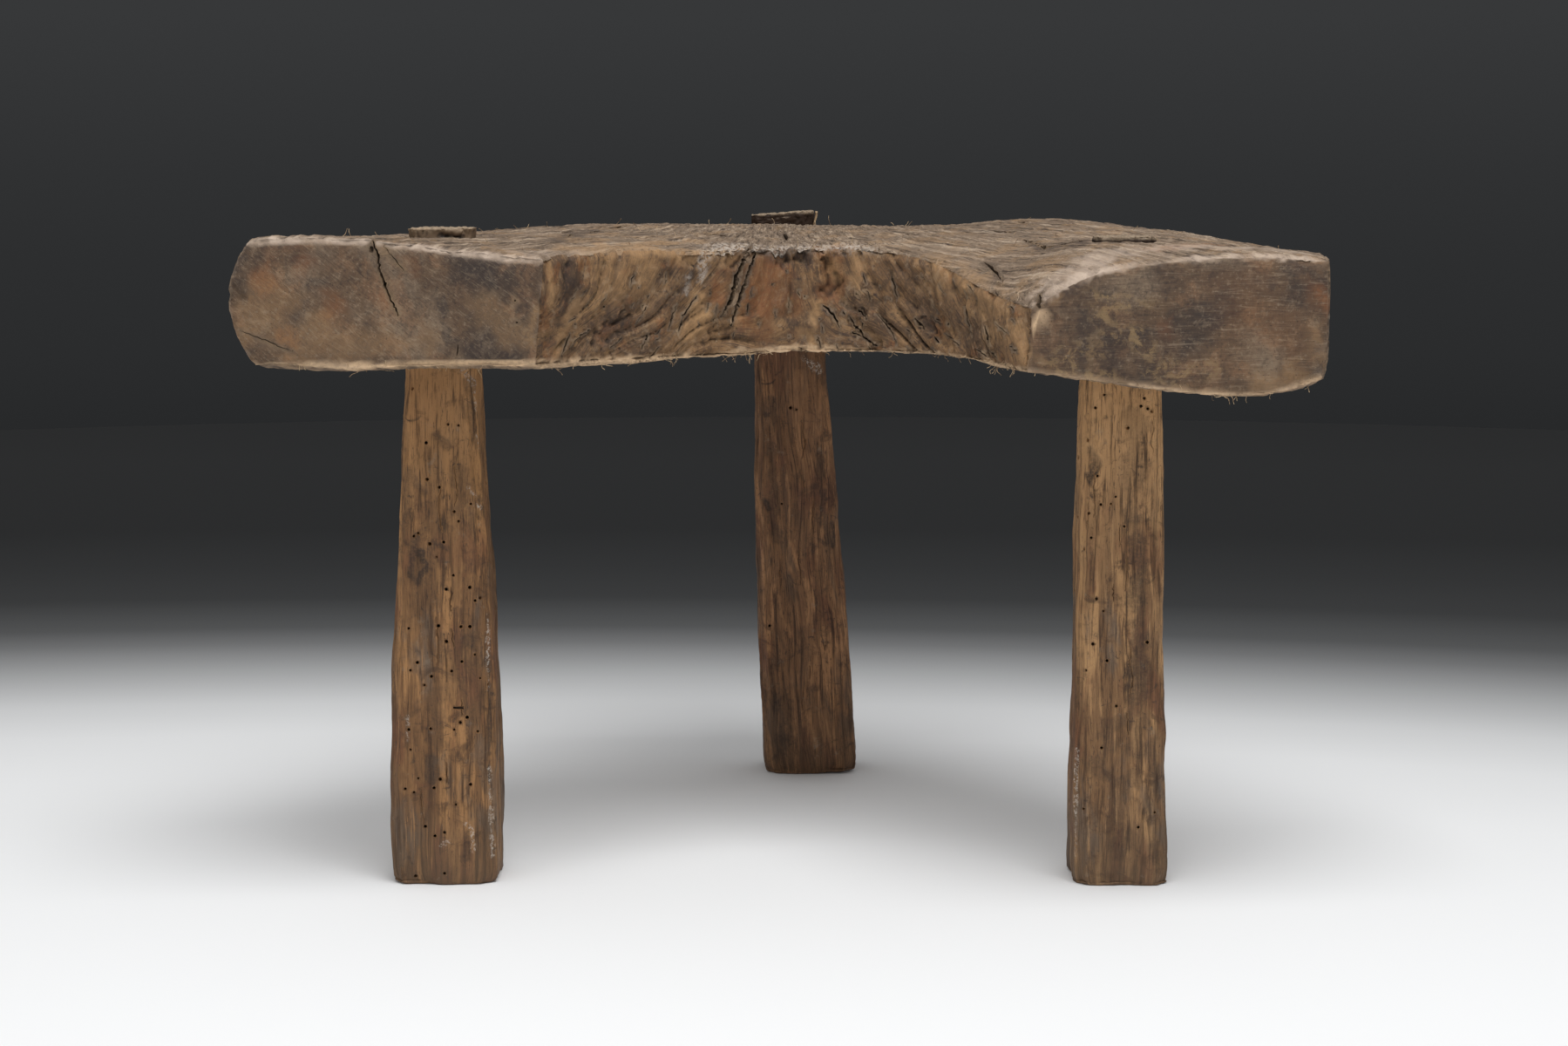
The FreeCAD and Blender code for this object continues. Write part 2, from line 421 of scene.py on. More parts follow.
def regrid(obj: Piece, size: float) -> None:
    """Gives a piece an even mesh.

    Args:
        obj: the piece.
        size: width of the new faces, in metres.
    """
    cloak = obj.modifiers.new("grid", "REMESH")
    cloak.mode = "VOXEL"
    cloak.voxel_size = size
    cloak.use_smooth_shade = True
    settle(obj)


def drop_crumbs(obj: Piece, least: int = 60) -> None:
    """Takes off the crumbs of wood that the cuts left loose.

    Args:
        obj: the piece.
        least: the fewest faces of a part that stays.
    """
    shell = bmesh.new()
    shell.from_mesh(obj.data)
    seen, crumbs = set(), []
    for seed in shell.faces:
        if seed in seen:
            continue
        part, reach = {seed}, [seed]
        while reach:
            sides = (edge for edge in reach.pop().edges if len(edge.link_faces) == 2)
            fresh = {face for edge in sides for face in edge.link_faces} - part
            part |= fresh
            reach.extend(fresh)
        seen |= part
        crumbs.extend(part if len(part) < least else ())
    bmesh.ops.delete(shell, geom=crumbs, context="FACES")
    shell.to_mesh(obj.data)
    shell.free()


def thin_out(obj: Piece, most: int) -> None:
    """Merges faces where the surface is plain, down to a number of triangles.

    Args:
        obj: the piece.
        most: the number of triangles that may stay.
    """
    triangles = sum(len(face.vertices) - 2 for face in obj.data.polygons)
    if triangles > most:
        collapse = obj.modifiers.new("thin", "DECIMATE")
        collapse.ratio = most / triangles
        settle(obj)
    drop_crumbs(obj)
    obj.data.shade_smooth()
    obj.data.set_sharp_from_angle(angle=math.radians(SHARP_ANGLE))


def keep_inside(obj: Piece) -> None:
    """Moves a finished piece's stray points back into the CAD box.

    Args:
        obj: the piece.
    """
    low, high = (np.array(corner) for corner in CAD_BOX)
    margin = np.array([0.02 * MM, 0.02 * MM, 0.0])
    inside = np.clip(rows(obj.data.vertices, "co"), low + margin, high - margin)
    obj.data.vertices.foreach_set("co", inside.astype(np.float32).ravel())
    obj.data.update()


class Wiring:
    """Short words for making and joining nodes in one tree."""

    def __init__(self, tree: bpy.types.NodeTree) -> None:
        """Keeps the tree."""
        self.tree = tree

    def add(self, kind: str, inputs: dict | None = None, **settings: object) -> bpy.types.Node:
        """Makes a node.

        Args:
            kind: the node's type.
            inputs: sockets or plain values by input name or number.
            settings: the node's own properties.

        Returns:
            The node.
        """
        node = self.tree.nodes.new(kind)
        for key, value in settings.items():
            setattr(node, key, value)
        for key, value in (inputs or {}).items():
            if isinstance(value, Socket):
                self.tree.links.new(value, node.inputs[key])
            else:
                node.inputs[key].default_value = value
        return node

    def first(self, kind: str, inputs: dict | None = None, **settings: object) -> Socket:
        """Makes a node as add does and gives its first output."""
        return self.add(kind, inputs, **settings).outputs[0]


class Carpentry(Wiring):
    """A geometry tree with named inputs whose result is plain mesh in its finish."""

    def __init__(self, name: str, inputs: dict[str, str], result: str) -> None:
        """Makes the tree with its inputs and its output.

        Args:
            name: the tree's name.
            inputs: the kind of each input by its name.
            result: the output's name.
        """
        super().__init__(bpy.data.node_groups.new(name, "GeometryNodeTree"))
        for word, kind in inputs.items():
            self.tree.interface.new_socket(word, in_out="INPUT", socket_type="NodeSocket" + kind)
        self.tree.interface.new_socket(result, in_out="OUTPUT", socket_type="NodeSocketGeometry")
        self.given = self.add("NodeGroupInput").outputs

    def mesh_of(self, name: str) -> Socket:
        """Reads the mesh of the piece in a named input."""
        node = self.add("GeometryNodeObjectInfo", {"Object": self.given[name]}, transform_space="ORIGINAL")
        return node.outputs["Geometry"]

    def cut_away(self, tools: Socket) -> Socket:
        """Takes the tools' solids from the wood."""
        return self.first("GeometryNodeMeshBoolean", {"Mesh 1": self.given["Wood"], "Mesh 2": tools},
                          operation="DIFFERENCE", solver="MANIFOLD")

    def end(self, geometry: Socket) -> bpy.types.NodeTree:
        """Makes the result plain mesh in its finish.

        Args:
            geometry: the result.

        Returns:
            The finished tree.
        """
        plain = self.first("GeometryNodeRealizeInstances", {"Geometry": geometry})
        dressed = self.first("GeometryNodeSetMaterial", {"Geometry": plain, "Material": self.given["Finish"]})
        self.add("NodeGroupOutput", {0: dressed})
        return self.tree


class Paint(Wiring):
    """Words for a wood finish's colour, sheen and relief."""

    def __init__(self, name: str) -> None:
        """Makes an empty material.

        Args:
            name: the material's name.
        """
        self.material = bpy.data.materials.new(name)
        self.material.use_nodes = True
        super().__init__(self.material.node_tree)
        self.tree.nodes.clear()
        self.place = self.add("ShaderNodeTexCoord").outputs["Object"]

    def value(self, name: Mark) -> Socket:
        """Reads a vertex value."""
        return self.add("ShaderNodeAttribute", attribute_name=name.value).outputs["Fac"]

    def grain(self) -> Socket:
        """Reads the place along and across the grain."""
        return self.add("ShaderNodeAttribute", attribute_name=Mark.GRAIN.value).outputs["Vector"]

    def stretched(self, vector: Socket, scale: Point, turn: Point = (0, 0, 0),
                  shift: Point = (0, 0, 0)) -> Socket:
        """Scales, turns and shifts a pattern's place."""
        node = self.add("ShaderNodeMapping", {"Vector": vector, "Scale": scale, "Rotation": turn,
                                              "Location": shift})
        return node.outputs["Vector"]

    def cloud(self, vector: Socket, scale: float, detail: float = 4.0,
              rough: float = 0.55, bend: float = 0.0) -> Socket:
        """Gives noise from 0 to 1."""
        node = self.add("ShaderNodeTexNoise", {"Vector": vector, "Scale": scale, "Detail": detail,
                                               "Roughness": rough, "Distortion": bend})
        return node.outputs["Fac"]

    def span(self, value: Socket, low: float, high: float, start: float = 0.0, end: float = 1.0) -> Socket:
        """Maps low..high smoothly to start..end."""
        node = self.add("ShaderNodeMapRange", {"Value": value, "From Min": low, "From Max": high,
                                               "To Min": start, "To Max": end},
                        interpolation_type="SMOOTHSTEP")
        return node.outputs["Result"]

    def between(self, share: object, one: object, two: object) -> Socket:
        """Mixes two numbers."""
        return self.first("ShaderNodeMix", {0: share, 2: one, 3: two})

    def sum(self, kind: str, one: object, two: object) -> Socket:
        """Joins two numbers by a named sum."""
        return self.first("ShaderNodeMath", {0: one, 1: two}, operation=kind)

    def times(self, one: object, two: object) -> Socket:
        """Multiplies two numbers."""
        return self.sum("MULTIPLY", one, two)

    def over(self, under: object, colour: object, share: object) -> Socket:
        """Lays one colour over another.

        Args:
            under: the colour below.
            colour: the colour above.
            share: how much of it shows.

        Returns:
            The mixed colour.
        """
        share_in, under_in, colour_in, colour_out = 0, 6, 7, 2
        mix = self.add("ShaderNodeMix", {share_in: share, under_in: under, colour_in: colour},
                       data_type="RGBA", clamp_result=True)
        return mix.outputs[colour_out]

    def layers(self, colour: object, *coats: tuple) -> Socket:
        """Lays coats over a colour, each where its pattern runs from low to high.

        Args:
            colour: the colour below.
            coats: colour, pattern, low, high and greatest share of each coat.

        Returns:
            The mixed colour.
        """
        for tone, pattern, low, high, most in coats:
            colour = self.over(colour, tone, self.span(pattern, low, high, 0, most))
        return colour

    def patches(self, colour: object, *patches: tuple) -> Socket:
        """Lays patches over a colour where their vertex values are, broken up by a pattern.

        Args:
            colour: the colour below.
            patches: colour, value's name, pattern, low, high, and share at low and at high of each patch.

        Returns:
            The mixed colour.
        """
        for tone, name, pattern, *limits in patches:
            colour = self.over(colour, tone, self.times(self.value(name), self.span(pattern, *limits)))
        return colour

    def finish(self, colour: Socket, rough: Socket, relief: Socket, depth: float, gloss: float) -> Material:
        """Joins colour, roughness and relief to a wood shader.

        Args:
            colour: the wood's colour.
            rough: its roughness.
            relief: its height, 0 to 1.
            depth: how deep the relief is, in metres.
            gloss: the specular level.

        Returns:
            The finished material.
        """
        bump = self.add("ShaderNodeBump", {"Height": relief, "Distance": depth, "Strength": 1.0})
        shader = self.add("ShaderNodeBsdfPrincipled", {"Base Color": colour, "Roughness": rough,
                                                       "Specular IOR Level": gloss,
                                                       "Normal": bump.outputs["Normal"]})
        self.add("ShaderNodeOutputMaterial", {"Surface": shader.outputs["BSDF"]})
        return self.material


@dataclass(frozen=True)
class SlabFinish:
    """Weathered slab: sawn ends, worn top, torn crotch and hewn underside, with painted shade in hollows,
    holes and cracks and a painted highlight along the frayed lower arris.
    """

    saw: tuple = linear(97, 77, 60)
    saw_dark: tuple = linear(58, 51, 48)
    saw_warm: tuple = linear(138, 106, 80)
    saw_pale: tuple = linear(164, 146, 124)
    lichen: tuple = linear(150, 124, 88)
    crust: tuple = linear(124, 105, 87)
    crust_dark: tuple = linear(66, 54, 45)
    crust_pale: tuple = linear(174, 155, 134)
    crust_warm: tuple = linear(142, 113, 82)
    worn: tuple = linear(186, 167, 150)
    torn: tuple = linear(119, 91, 64)
    torn_dark: tuple = linear(60, 50, 46)
    torn_red: tuple = linear(138, 88, 52)
    torn_pale: tuple = linear(172, 136, 96)
    shade: tuple = linear(62, 52, 46)
    glow: tuple = linear(168, 146, 120)
    hewn: tuple = linear(142, 118, 92)
    bark: tuple = linear(110, 92, 76)
    # Pale frayed wood along the lower arris, partly a painted highlight of the light that edge catches.
    fray: tuple = linear(202, 172, 138)
    # Colour of dark specks, and of painted shade in hollows, holes and cracks.
    pit_shade_and_specks: tuple = linear(26, 19, 14)
    ash: tuple = linear(170, 158, 146)
    bump: float = 0.8 * MM
    gloss: float = 0.25

    def material(self) -> Material:
        """Builds the slab's material."""
        p = Paint("weathered_slab")
        grain = p.grain()
        blotch = p.cloud(p.place, 45, 6, 0.62, 0.4)
        broad = p.cloud(p.place, 16, 4, 0.55, 0.3)
        fine = p.cloud(p.place, 500, 4, 0.65)
        mottle = p.cloud(p.place, 140, 6, 0.7, 0.4)
        specks = p.cloud(p.place, 900, 2, 0.5)

        top, top_relief = self.top_colour(p, grain, blotch, fine)
        inner, inner_relief = self.inner_colour(p, grain, blotch, broad, fine)
        ends = p.sum("ADD", p.value(Mark.END_LEFT), p.value(Mark.END_RIGHT))
        saw, saw_relief = self.saw_colour(p, blotch, broad, fine)
        fibres = p.cloud(p.stretched(grain, (160, 12, 300)), 1.0, 6, 0.7, 0.4)
        rough_wood = p.layers(self.bark, (self.hewn, blotch, 0.38, 0.64, 1),
                              (self.crust_dark, fibres, 0.5, 0.38, 0.85),
                              (self.crust_pale, fibres, 0.55, 0.66, 0.5))

        ragged = p.times(p.sum("SUBTRACT", mottle, 0.5), 1.6)
        at_top = p.sum("ADD", p.value(Mark.TOP), ragged)
        at_wall = p.sum("ADD", p.value(Mark.INNER), ragged)
        colour = p.layers(rough_wood, (top, at_top, 0.25, 0.6, 1), (inner, at_wall, 0.4, 0.75, 1))
        colour = p.over(colour, saw, ends)
        calm = p.span(p.sum("ADD", ends, p.value(Mark.TOP)), 0.0, 1.0, 1.0, 0.55)
        colour = p.over(colour, self.shade, p.times(calm, p.span(mottle, 0.52, 0.64, 0, 0.5)))
        colour = p.over(colour, self.glow, p.times(calm, p.span(mottle, 0.47, 0.36, 0, 0.3)))
        colour = p.patches(colour, (self.torn_dark, Mark.DARK, fine, 0.3, 0.62, 0.45 * 0.8, 0.8),
                           (self.torn_red, Mark.WARM, fine, 0.3, 0.62, 0.45 * 0.75, 0.75),
                           (self.torn_pale, Mark.PALE, fine, 0.3, 0.62, 0.45 * 0.8, 0.8))
        moss = p.times(p.value(Mark.LICHEN), p.span(mottle, 0.53, 0.44, 0, 0.7))
        colour = p.over(colour, self.lichen, p.times(moss, p.span(fine, 0.35, 0.55, 0.5, 1)))
        colour = p.patches(colour, (self.fray, Mark.FRAY, fine, 0.25, 0.6, 0.5, 1),
                           (self.ash, Mark.DUST, fine, 0.4, 0.58),
                           (self.worn, Mark.WORN, p.cloud(p.place, 110, 5), 0.36, 0.6, 0.45, 1))
        # Dark specks, then painted shade in hollows and inside holes and cracks.
        for share in (p.times(p.span(specks, 0.66, 0.74), 0.5), p.times(p.value(Mark.HOLLOW), 0.75),
                      p.value(Mark.BORE)):
            colour = p.over(colour, self.pit_shade_and_specks, share)
        relief = p.between(p.value(Mark.INNER), top_relief, inner_relief)
        relief = p.between(ends, relief, saw_relief)
        rough = p.span(blotch, 0.3, 0.7, 0.66, 0.9)
        return p.finish(colour, rough, relief, self.bump, self.gloss)

    def top_colour(self, p: Paint, grain: Socket, blotch: Socket, fine: Socket) -> tuple:
        """Colours the worn top.

        Args:
            p: the material in the making.
            grain: place along and across the grain.
            blotch: middle-sized stains.
            fine: specks.

        Returns:
            The colour and the relief.
        """
        streak = p.cloud(p.stretched(grain, (240, 14, 60)), 1.0, 7, 0.7, 0.5)
        thin = p.cloud(p.stretched(grain, (900, 26, 200)), 1.0, 5, 0.7, 0.3)
        colour = p.layers(self.crust,
                          (self.crust_dark, streak, 0.48, 0.37, 0.95),
                          (self.crust_pale, streak, 0.52, 0.63, 0.85),
                          (self.crust_warm, blotch, 0.5, 0.62, 0.5),
                          (self.crust_dark, thin, 0.47, 0.35, 0.95),
                          (self.crust_pale, thin, 0.55, 0.68, 0.5),
                          (self.crust_pale, fine, 0.56, 0.7, 0.5),
                          (self.crust_dark, fine, 0.44, 0.32, 0.6))
        return colour, p.sum("ADD", p.times(streak, 0.5), p.times(thin, 0.5))

    def saw_colour(self, p: Paint, blotch: Socket, broad: Socket, fine: Socket) -> tuple:
        """Colours the sawn ends.

        Args:
            p: the material in the making.
            blotch: middle-sized stains.
            broad: large stains.
            fine: specks.

        Returns:
            The colour and the relief.
        """
        right = p.value(Mark.END_RIGHT)
        turned = p.stretched(p.place, (1, 1, 1), (0, math.radians(-38), 0))
        slant = p.cloud(p.stretched(turned, (170, 170, 900)), 1.0, 5, 0.75, 0.8)
        level = p.cloud(p.stretched(p.place, (60, 60, 640), (0, math.radians(3), 0)), 1.0, 6, 0.75, 0.9)
        lines = p.between(right, slant, level)
        colour = p.layers(self.saw,
                          (self.saw_dark, broad, 0.5, 0.6, 0.6),
                          (self.saw_pale, broad, 0.46, 0.36, 0.25),
                          (self.saw_warm, blotch, 0.51, 0.63, 0.5),
                          (self.saw_dark, blotch, 0.47, 0.36, 0.6),
                          (self.saw_pale, lines, 0.52, 0.68, 0.38),
                          (self.saw_dark, lines, 0.48, 0.34, 0.5),
                          (self.saw_dark, fine, 0.54, 0.68, 0.45),
                          (self.saw_pale, fine, 0.44, 0.32, 0.25))
        return colour, p.sum("ADD", p.times(lines, 0.6), p.times(fine, 0.2))

    def inner_colour(self, p: Paint, grain: Socket, blotch: Socket, broad: Socket, fine: Socket) -> tuple:
        """Colours the torn wall of the crotch.

        Args:
            p: the material in the making.
            grain: place along and across the grain.
            blotch: middle-sized stains.
            broad: large stains.
            fine: specks.

        Returns:
            The colour and the relief.
        """
        bands = p.cloud(p.stretched(grain, (110, 24, 24)), 1.0, 6, 0.65, 0.8)
        lines = p.cloud(p.stretched(grain, (620, 60, 60)), 1.0, 5, 0.68, 0.8)
        hairs = p.cloud(p.stretched(grain, (1500, 70, 70)), 1.0, 4, 0.7, 0.5)
        colour = p.layers(self.torn,
                          (self.torn_dark, bands, 0.53, 0.66, 0.6),
                          (self.torn_pale, bands, 0.46, 0.34, 0.5),
                          (self.torn_dark, broad, 0.52, 0.62, 0.5),
                          (self.torn_pale, blotch, 0.54, 0.66, 0.45),
                          (self.torn_red, blotch, 0.46, 0.36, 0.5),
                          (self.torn_dark, lines, 0.55, 0.67, 0.75),
                          (self.torn_pale, lines, 0.44, 0.32, 0.45),
                          (self.torn_dark, hairs, 0.53, 0.66, 0.6),
                          (self.torn_pale, hairs, 0.46, 0.34, 0.35),
                          (self.torn_dark, fine, 0.56, 0.7, 0.75),
                          (self.torn_pale, fine, 0.42, 0.32, 0.35))
        return colour, p.sum("ADD", p.times(bands, 0.35), p.times(lines, 0.65))


@dataclass(frozen=True)
class PostFinish:
    """Hewn leg: streaks along the wood, stains, a darker foot, worn edges, painted light on the upper leg and
    painted shade in hollows and holes.
    """

    name: str
    base: tuple = linear(117, 84, 53)
    dark: tuple = linear(70, 49, 33)
    pale: tuple = linear(164, 121, 77)
    stain: tuple = linear(52, 42, 35)
    dirt: tuple = linear(134, 121, 105)
    foot: tuple = linear(90, 73, 56)
    worn: tuple = linear(176, 143, 106)
    head: tuple = linear(166, 146, 122)
    head_side: tuple = linear(52, 37, 27)
    # Painted light on the upper leg: its golden colour and greatest share.
    painted_light_gold: tuple = linear(182, 136, 88)
    painted_light_share: float = 0.72
    red: tuple = linear(112, 72, 48)
    grey: tuple = linear(100, 86, 73)
    chalk: tuple = linear(186, 176, 164)
    # Colour of painted shade in hollows, holes and cracks.
    pit_shade_and_specks: tuple = linear(24, 17, 12)
    wave: float = 0.3
    bump: float = 0.5 * MM
    gloss: float = 0.35

    def material(self) -> Material:
        """Builds the leg's material."""
        p = Paint(self.name)
        grain = p.grain()
        broad = p.cloud(p.stretched(grain, (85, 85, 9)), 1.0, 4, 0.6, self.wave)
        streak = p.cloud(p.stretched(grain, (380, 380, 17)), 1.0, 6, 0.7, self.wave)
        fibre = p.cloud(p.stretched(grain, (1300, 1300, 70)), 1.0, 4, 0.7, self.wave)
        blotch = p.cloud(p.place, 75, 7, 0.7, 0.6)
        smudge = p.cloud(p.stretched(grain, (120, 120, 150)), 1.0, 6, 0.66, 0.9)
        flecks = p.cloud(p.stretched(grain, (900, 900, 190)), 1.0, 3, 0.6, 0.2)
        fine = p.cloud(p.place, 700, 4, 0.7)
        height = p.add("ShaderNodeSeparateXYZ", {0: p.place}).outputs[2]
        colour = p.layers(self.base,
                          (self.pale, broad, 0.5, 0.62, 0.9),
                          (self.dark, broad, 0.46, 0.34, 0.6))
        wide = p.cloud(p.stretched(grain, (38, 38, 14), (0, 0, 0), (0.3, 0.2, 0.7)), 1.0, 5, 0.6, 0.5)
        # The gold coat from 0.16 m to 0.3 m up is painted light on the upper leg.
        colour = p.layers(colour,
                          (self.red, wide, 0.5, 0.6, 0.7),
                          (self.grey, wide, 0.46, 0.36, 0.7),
                          (self.painted_light_gold, height, 0.16, 0.3, self.painted_light_share),
                          (self.dark, streak, 0.51, 0.64, 0.85),
                          (self.pale, streak, 0.44, 0.33, 0.75),
                          (self.dark, blotch, 0.53, 0.68, 0.7),
                          (self.stain, smudge, 0.6, 0.7, 0.75),
                          (self.dark, fibre, 0.52, 0.68, 0.85),
                          (self.pale, fibre, 0.44, 0.3, 0.35),
                          (self.stain, flecks, 0.62, 0.72, 0.8),
                          (self.stain, fine, 0.6, 0.74, 0.6))
        low = p.span(p.sum("ADD", height, p.times(blotch, 0.09)), 0.11, 0.03)
        colour = p.over(colour, self.foot, p.times(low, p.span(streak, 0.3, 0.6, 0.35, 0.75)))
        dirt = p.span(p.cloud(p.place, 105, 7, 0.72), 0.6, 0.7)
        colour = p.over(colour, self.dirt, p.times(dirt, 0.4))
        colour = p.over(colour, self.head_side, p.value(Mark.HEAD))
        colour = p.patches(colour, (self.head, Mark.TOP, fine, 0.35, 0.6, 1, 0.55),
                           (self.worn, Mark.WORN, fine, 0.3, 0.6, 0.5, 0.15),
                           (self.stain, Mark.DARK, fine, 0.3, 0.6, 0.5, 0.95),
                           (self.pale, Mark.PALE, streak, 0.35, 0.6, 0.95, 0.3),
                           (self.chalk, Mark.DUST, fine, 0.48, 0.6))
        # Painted shade in hollows and inside holes and cracks.
        for share in (p.times(p.value(Mark.HOLLOW), 0.6), p.value(Mark.BORE)):
            colour = p.over(colour, self.pit_shade_and_specks, share)
        relief = p.sum("ADD", p.times(streak, 0.55), p.times(fibre, 0.45))
        rough = p.span(streak, 0.3, 0.7, 0.52, 0.78)
        return p.finish(colour, rough, relief, self.bump, self.gloss)


@dataclass(frozen=True)
class SliverFinish:
    """Split pale wood of the wedge, and the stray fibres."""

    name: str
    base: tuple = linear(188, 162, 128)
    dark: tuple = linear(112, 90, 68)

    def material(self) -> Material:
        """Builds the sliver's material."""
        p = Paint(self.name)
        streak = p.cloud(p.stretched(p.place, (500, 500, 14)), 1.0, 4, 0.6, 0.3)
        colour = p.over(self.base, self.dark, p.span(streak, 0.42, 0.62))
        rough = p.span(streak, 0.3, 0.7, 0.6, 0.8)
        return p.finish(colour, rough, streak, 0.3 * MM, 0.3)


@dataclass(frozen=True)
class Stain:
    """A patch or streak of another colour, placed by the photograph."""

    # Some patches on the front legs are painted highlights and painted shade.
    kind: Mark
    path: tuple[Pixel, ...]
    width: float
    share: float = 1.0


@dataclass(frozen=True)
class Crack:
    """An open crack along a path of the photograph, in millimetres."""

    path: tuple[Pixel, ...]
    width: float
    depth: float


def spots(row: tuple[float, ...]) -> tuple[Pixel, ...]:
    """Turns a row of numbers into places in the photograph."""
    return tuple(zip(row[::2], row[1::2]))


def stains(groups: dict[Mark, tuple]) -> tuple[Stain, ...]:
    """Makes the stains of each kind from rows of width, share and places."""
    return tuple(Stain(kind, spots(row[2:]), *row[:2]) for kind, group in groups.items() for row in group)


def cracks(group: tuple) -> tuple[Crack, ...]:
    """Makes cracks from rows of width, depth and places."""
    return tuple(Crack(spots(row[2:]), *row[:2]) for row in group)


def stained(surface: Surface, stains: tuple[Stain, ...], view: Viewpoint, seed: int) -> Shares:
    """Finds how strong each kind of patch is at each point.

    Args:
        surface: the piece's mesh.
        stains: the patches.
        view: the photograph's camera.
        seed: seed of their ragged edges.

    Returns:
        Shares from 0 to 1 for each kind.
    """
    points = surface.points
    wobble = Noise(seed).layered(points, 8 * MM, 5)
    ragged, core = 1.3, 0.45
    shares = {}
    for stain in stains:
        hits = [touched[0] for pixel in stain.path if (touched := view.touch(surface.obj, pixel))]
        if not hits:
            continue
        nearest = np.full(len(points), 1.0)
        for start, end in zip(hits, hits[1:] or hits):
            one, run = np.array(start), np.array(end - start)
            along = np.clip((points - one) @ run / max(run @ run, MM**3), 0, 1)
            nearest = np.minimum(nearest, np.linalg.norm(points - one - along[:, None] * run, axis=1))
        reach = stain.width * MM
        share = stain.share * ease(-(nearest + wobble * reach * ragged), -reach, -reach * core)
        known = shares.get(stain.kind, np.zeros(len(points)))
        shares[stain.kind] = np.where(np.abs(share) > np.abs(known), share, known)
    return shares


@dataclass
class Chisel:
    """Opens cracks: wedge-shaped blades along the cracks are taken from the wood by a node tree."""

    step: float = 2.4
    jag: float = 0.5
    lead: float = 1.2 * MM
    gap: float = 12 * MM
    # Share of painted shade on the walls of the cracks.
    dark: float = 0.92
    tree: bpy.types.NodeTree = field(init=False)

    def __post_init__(self) -> None:
        """Builds the node tree once."""
        w = Carpentry("cracks", {"Wood": "Geometry", "Blades": "Object", "Finish": "Material"}, "Wood")
        self.tree = w.end(w.cut_away(w.mesh_of("Blades")))

    def blade(self, wood: Piece, crack: Crack, view: Viewpoint, draw: np.random.Generator,
              shell: bmesh.types.BMesh) -> None:
        """Adds one crack's blade.

        Args:
            wood: the piece.
            crack: the crack.
            view: the photograph's camera.
            draw: draws the crack's jags.
            shell: mesh that takes the blade.
        """
        frames = []
        for start, end in zip(crack.path, crack.path[1:]):
            steps = max(2, int(math.dist(start, end) / self.step))
            for index in range(steps):
                share = index / steps
                pixel = tuple(a + (b - a) * share + draw.normal(0, self.jag) for a, b in zip(start, end))
                touched = view.touch(wood, pixel)
                if touched and (not frames or (touched[0] - frames[-1][0]).length < self.gap):
                    frames.append(touched)
        if len(frames) < 3:
            return
        rings = []
        for index, (spot, normal) in enumerate(frames):
            ahead = frames[min(index + 1, len(frames) - 1)][0] - frames[max(index - 1, 0)][0]
            side = normal.cross(ahead).normalized()
            share = index / (len(frames) - 1)
            swell = math.sin(math.pi * (0.04 + 0.92 * share)) ** 0.5 * draw.uniform(0.65, 1.1)
            half = 0.5 * crack.width * MM * swell
            deep = crack.depth * MM * swell
            spread = half * (1 + self.lead / deep)
            rings.append([shell.verts.new(spot + normal * self.lead + side * spread),
                          shell.verts.new(spot - normal * deep),
                          shell.verts.new(spot + normal * self.lead - side * spread)])
        for one, two in zip(rings, rings[1:]):
            for corner in range(3):
                other = (corner + 1) % 3
                shell.faces.new((one[corner], one[other], two[other], two[corner]))
        shell.faces.new(rings[0][::-1])
        shell.faces.new(rings[-1])

    def cut(self, wood: Piece, cracks: list[Crack], view: Viewpoint, seed: int, finish: Material) -> None:
        """Opens the cracks of a piece.

        Args:
            wood: the piece.
            cracks: the cracks.
            view: the photograph's camera.
            seed: seed of their jags.
            finish: the piece's material.
        """
        draw = np.random.default_rng(seed)
        shell = bmesh.new()
        for crack in cracks:
            before = len(shell.faces)
            self.blade(wood, crack, view, draw, shell)
            if len(shell.faces) == before:
                LOG.info("no wood under the crack at %s", crack.path[0])
        bmesh.ops.triangulate(shell, faces=shell.faces)
        bmesh.ops.recalc_face_normals(shell, faces=shell.faces)
        mesh = bpy.data.meshes.new("blades")
        shell.to_mesh(mesh)
        shell.free()
        # The blades carry painted shade onto the crack walls that they cut.
        store(mesh, Mark.BORE.value, [self.dark] * len(mesh.vertices))
        marker = placed("blades", mesh)
        apply_tree(wood, self.tree, {"Blades": marker, "Finish": finish})
        bpy.data.objects.remove(marker)


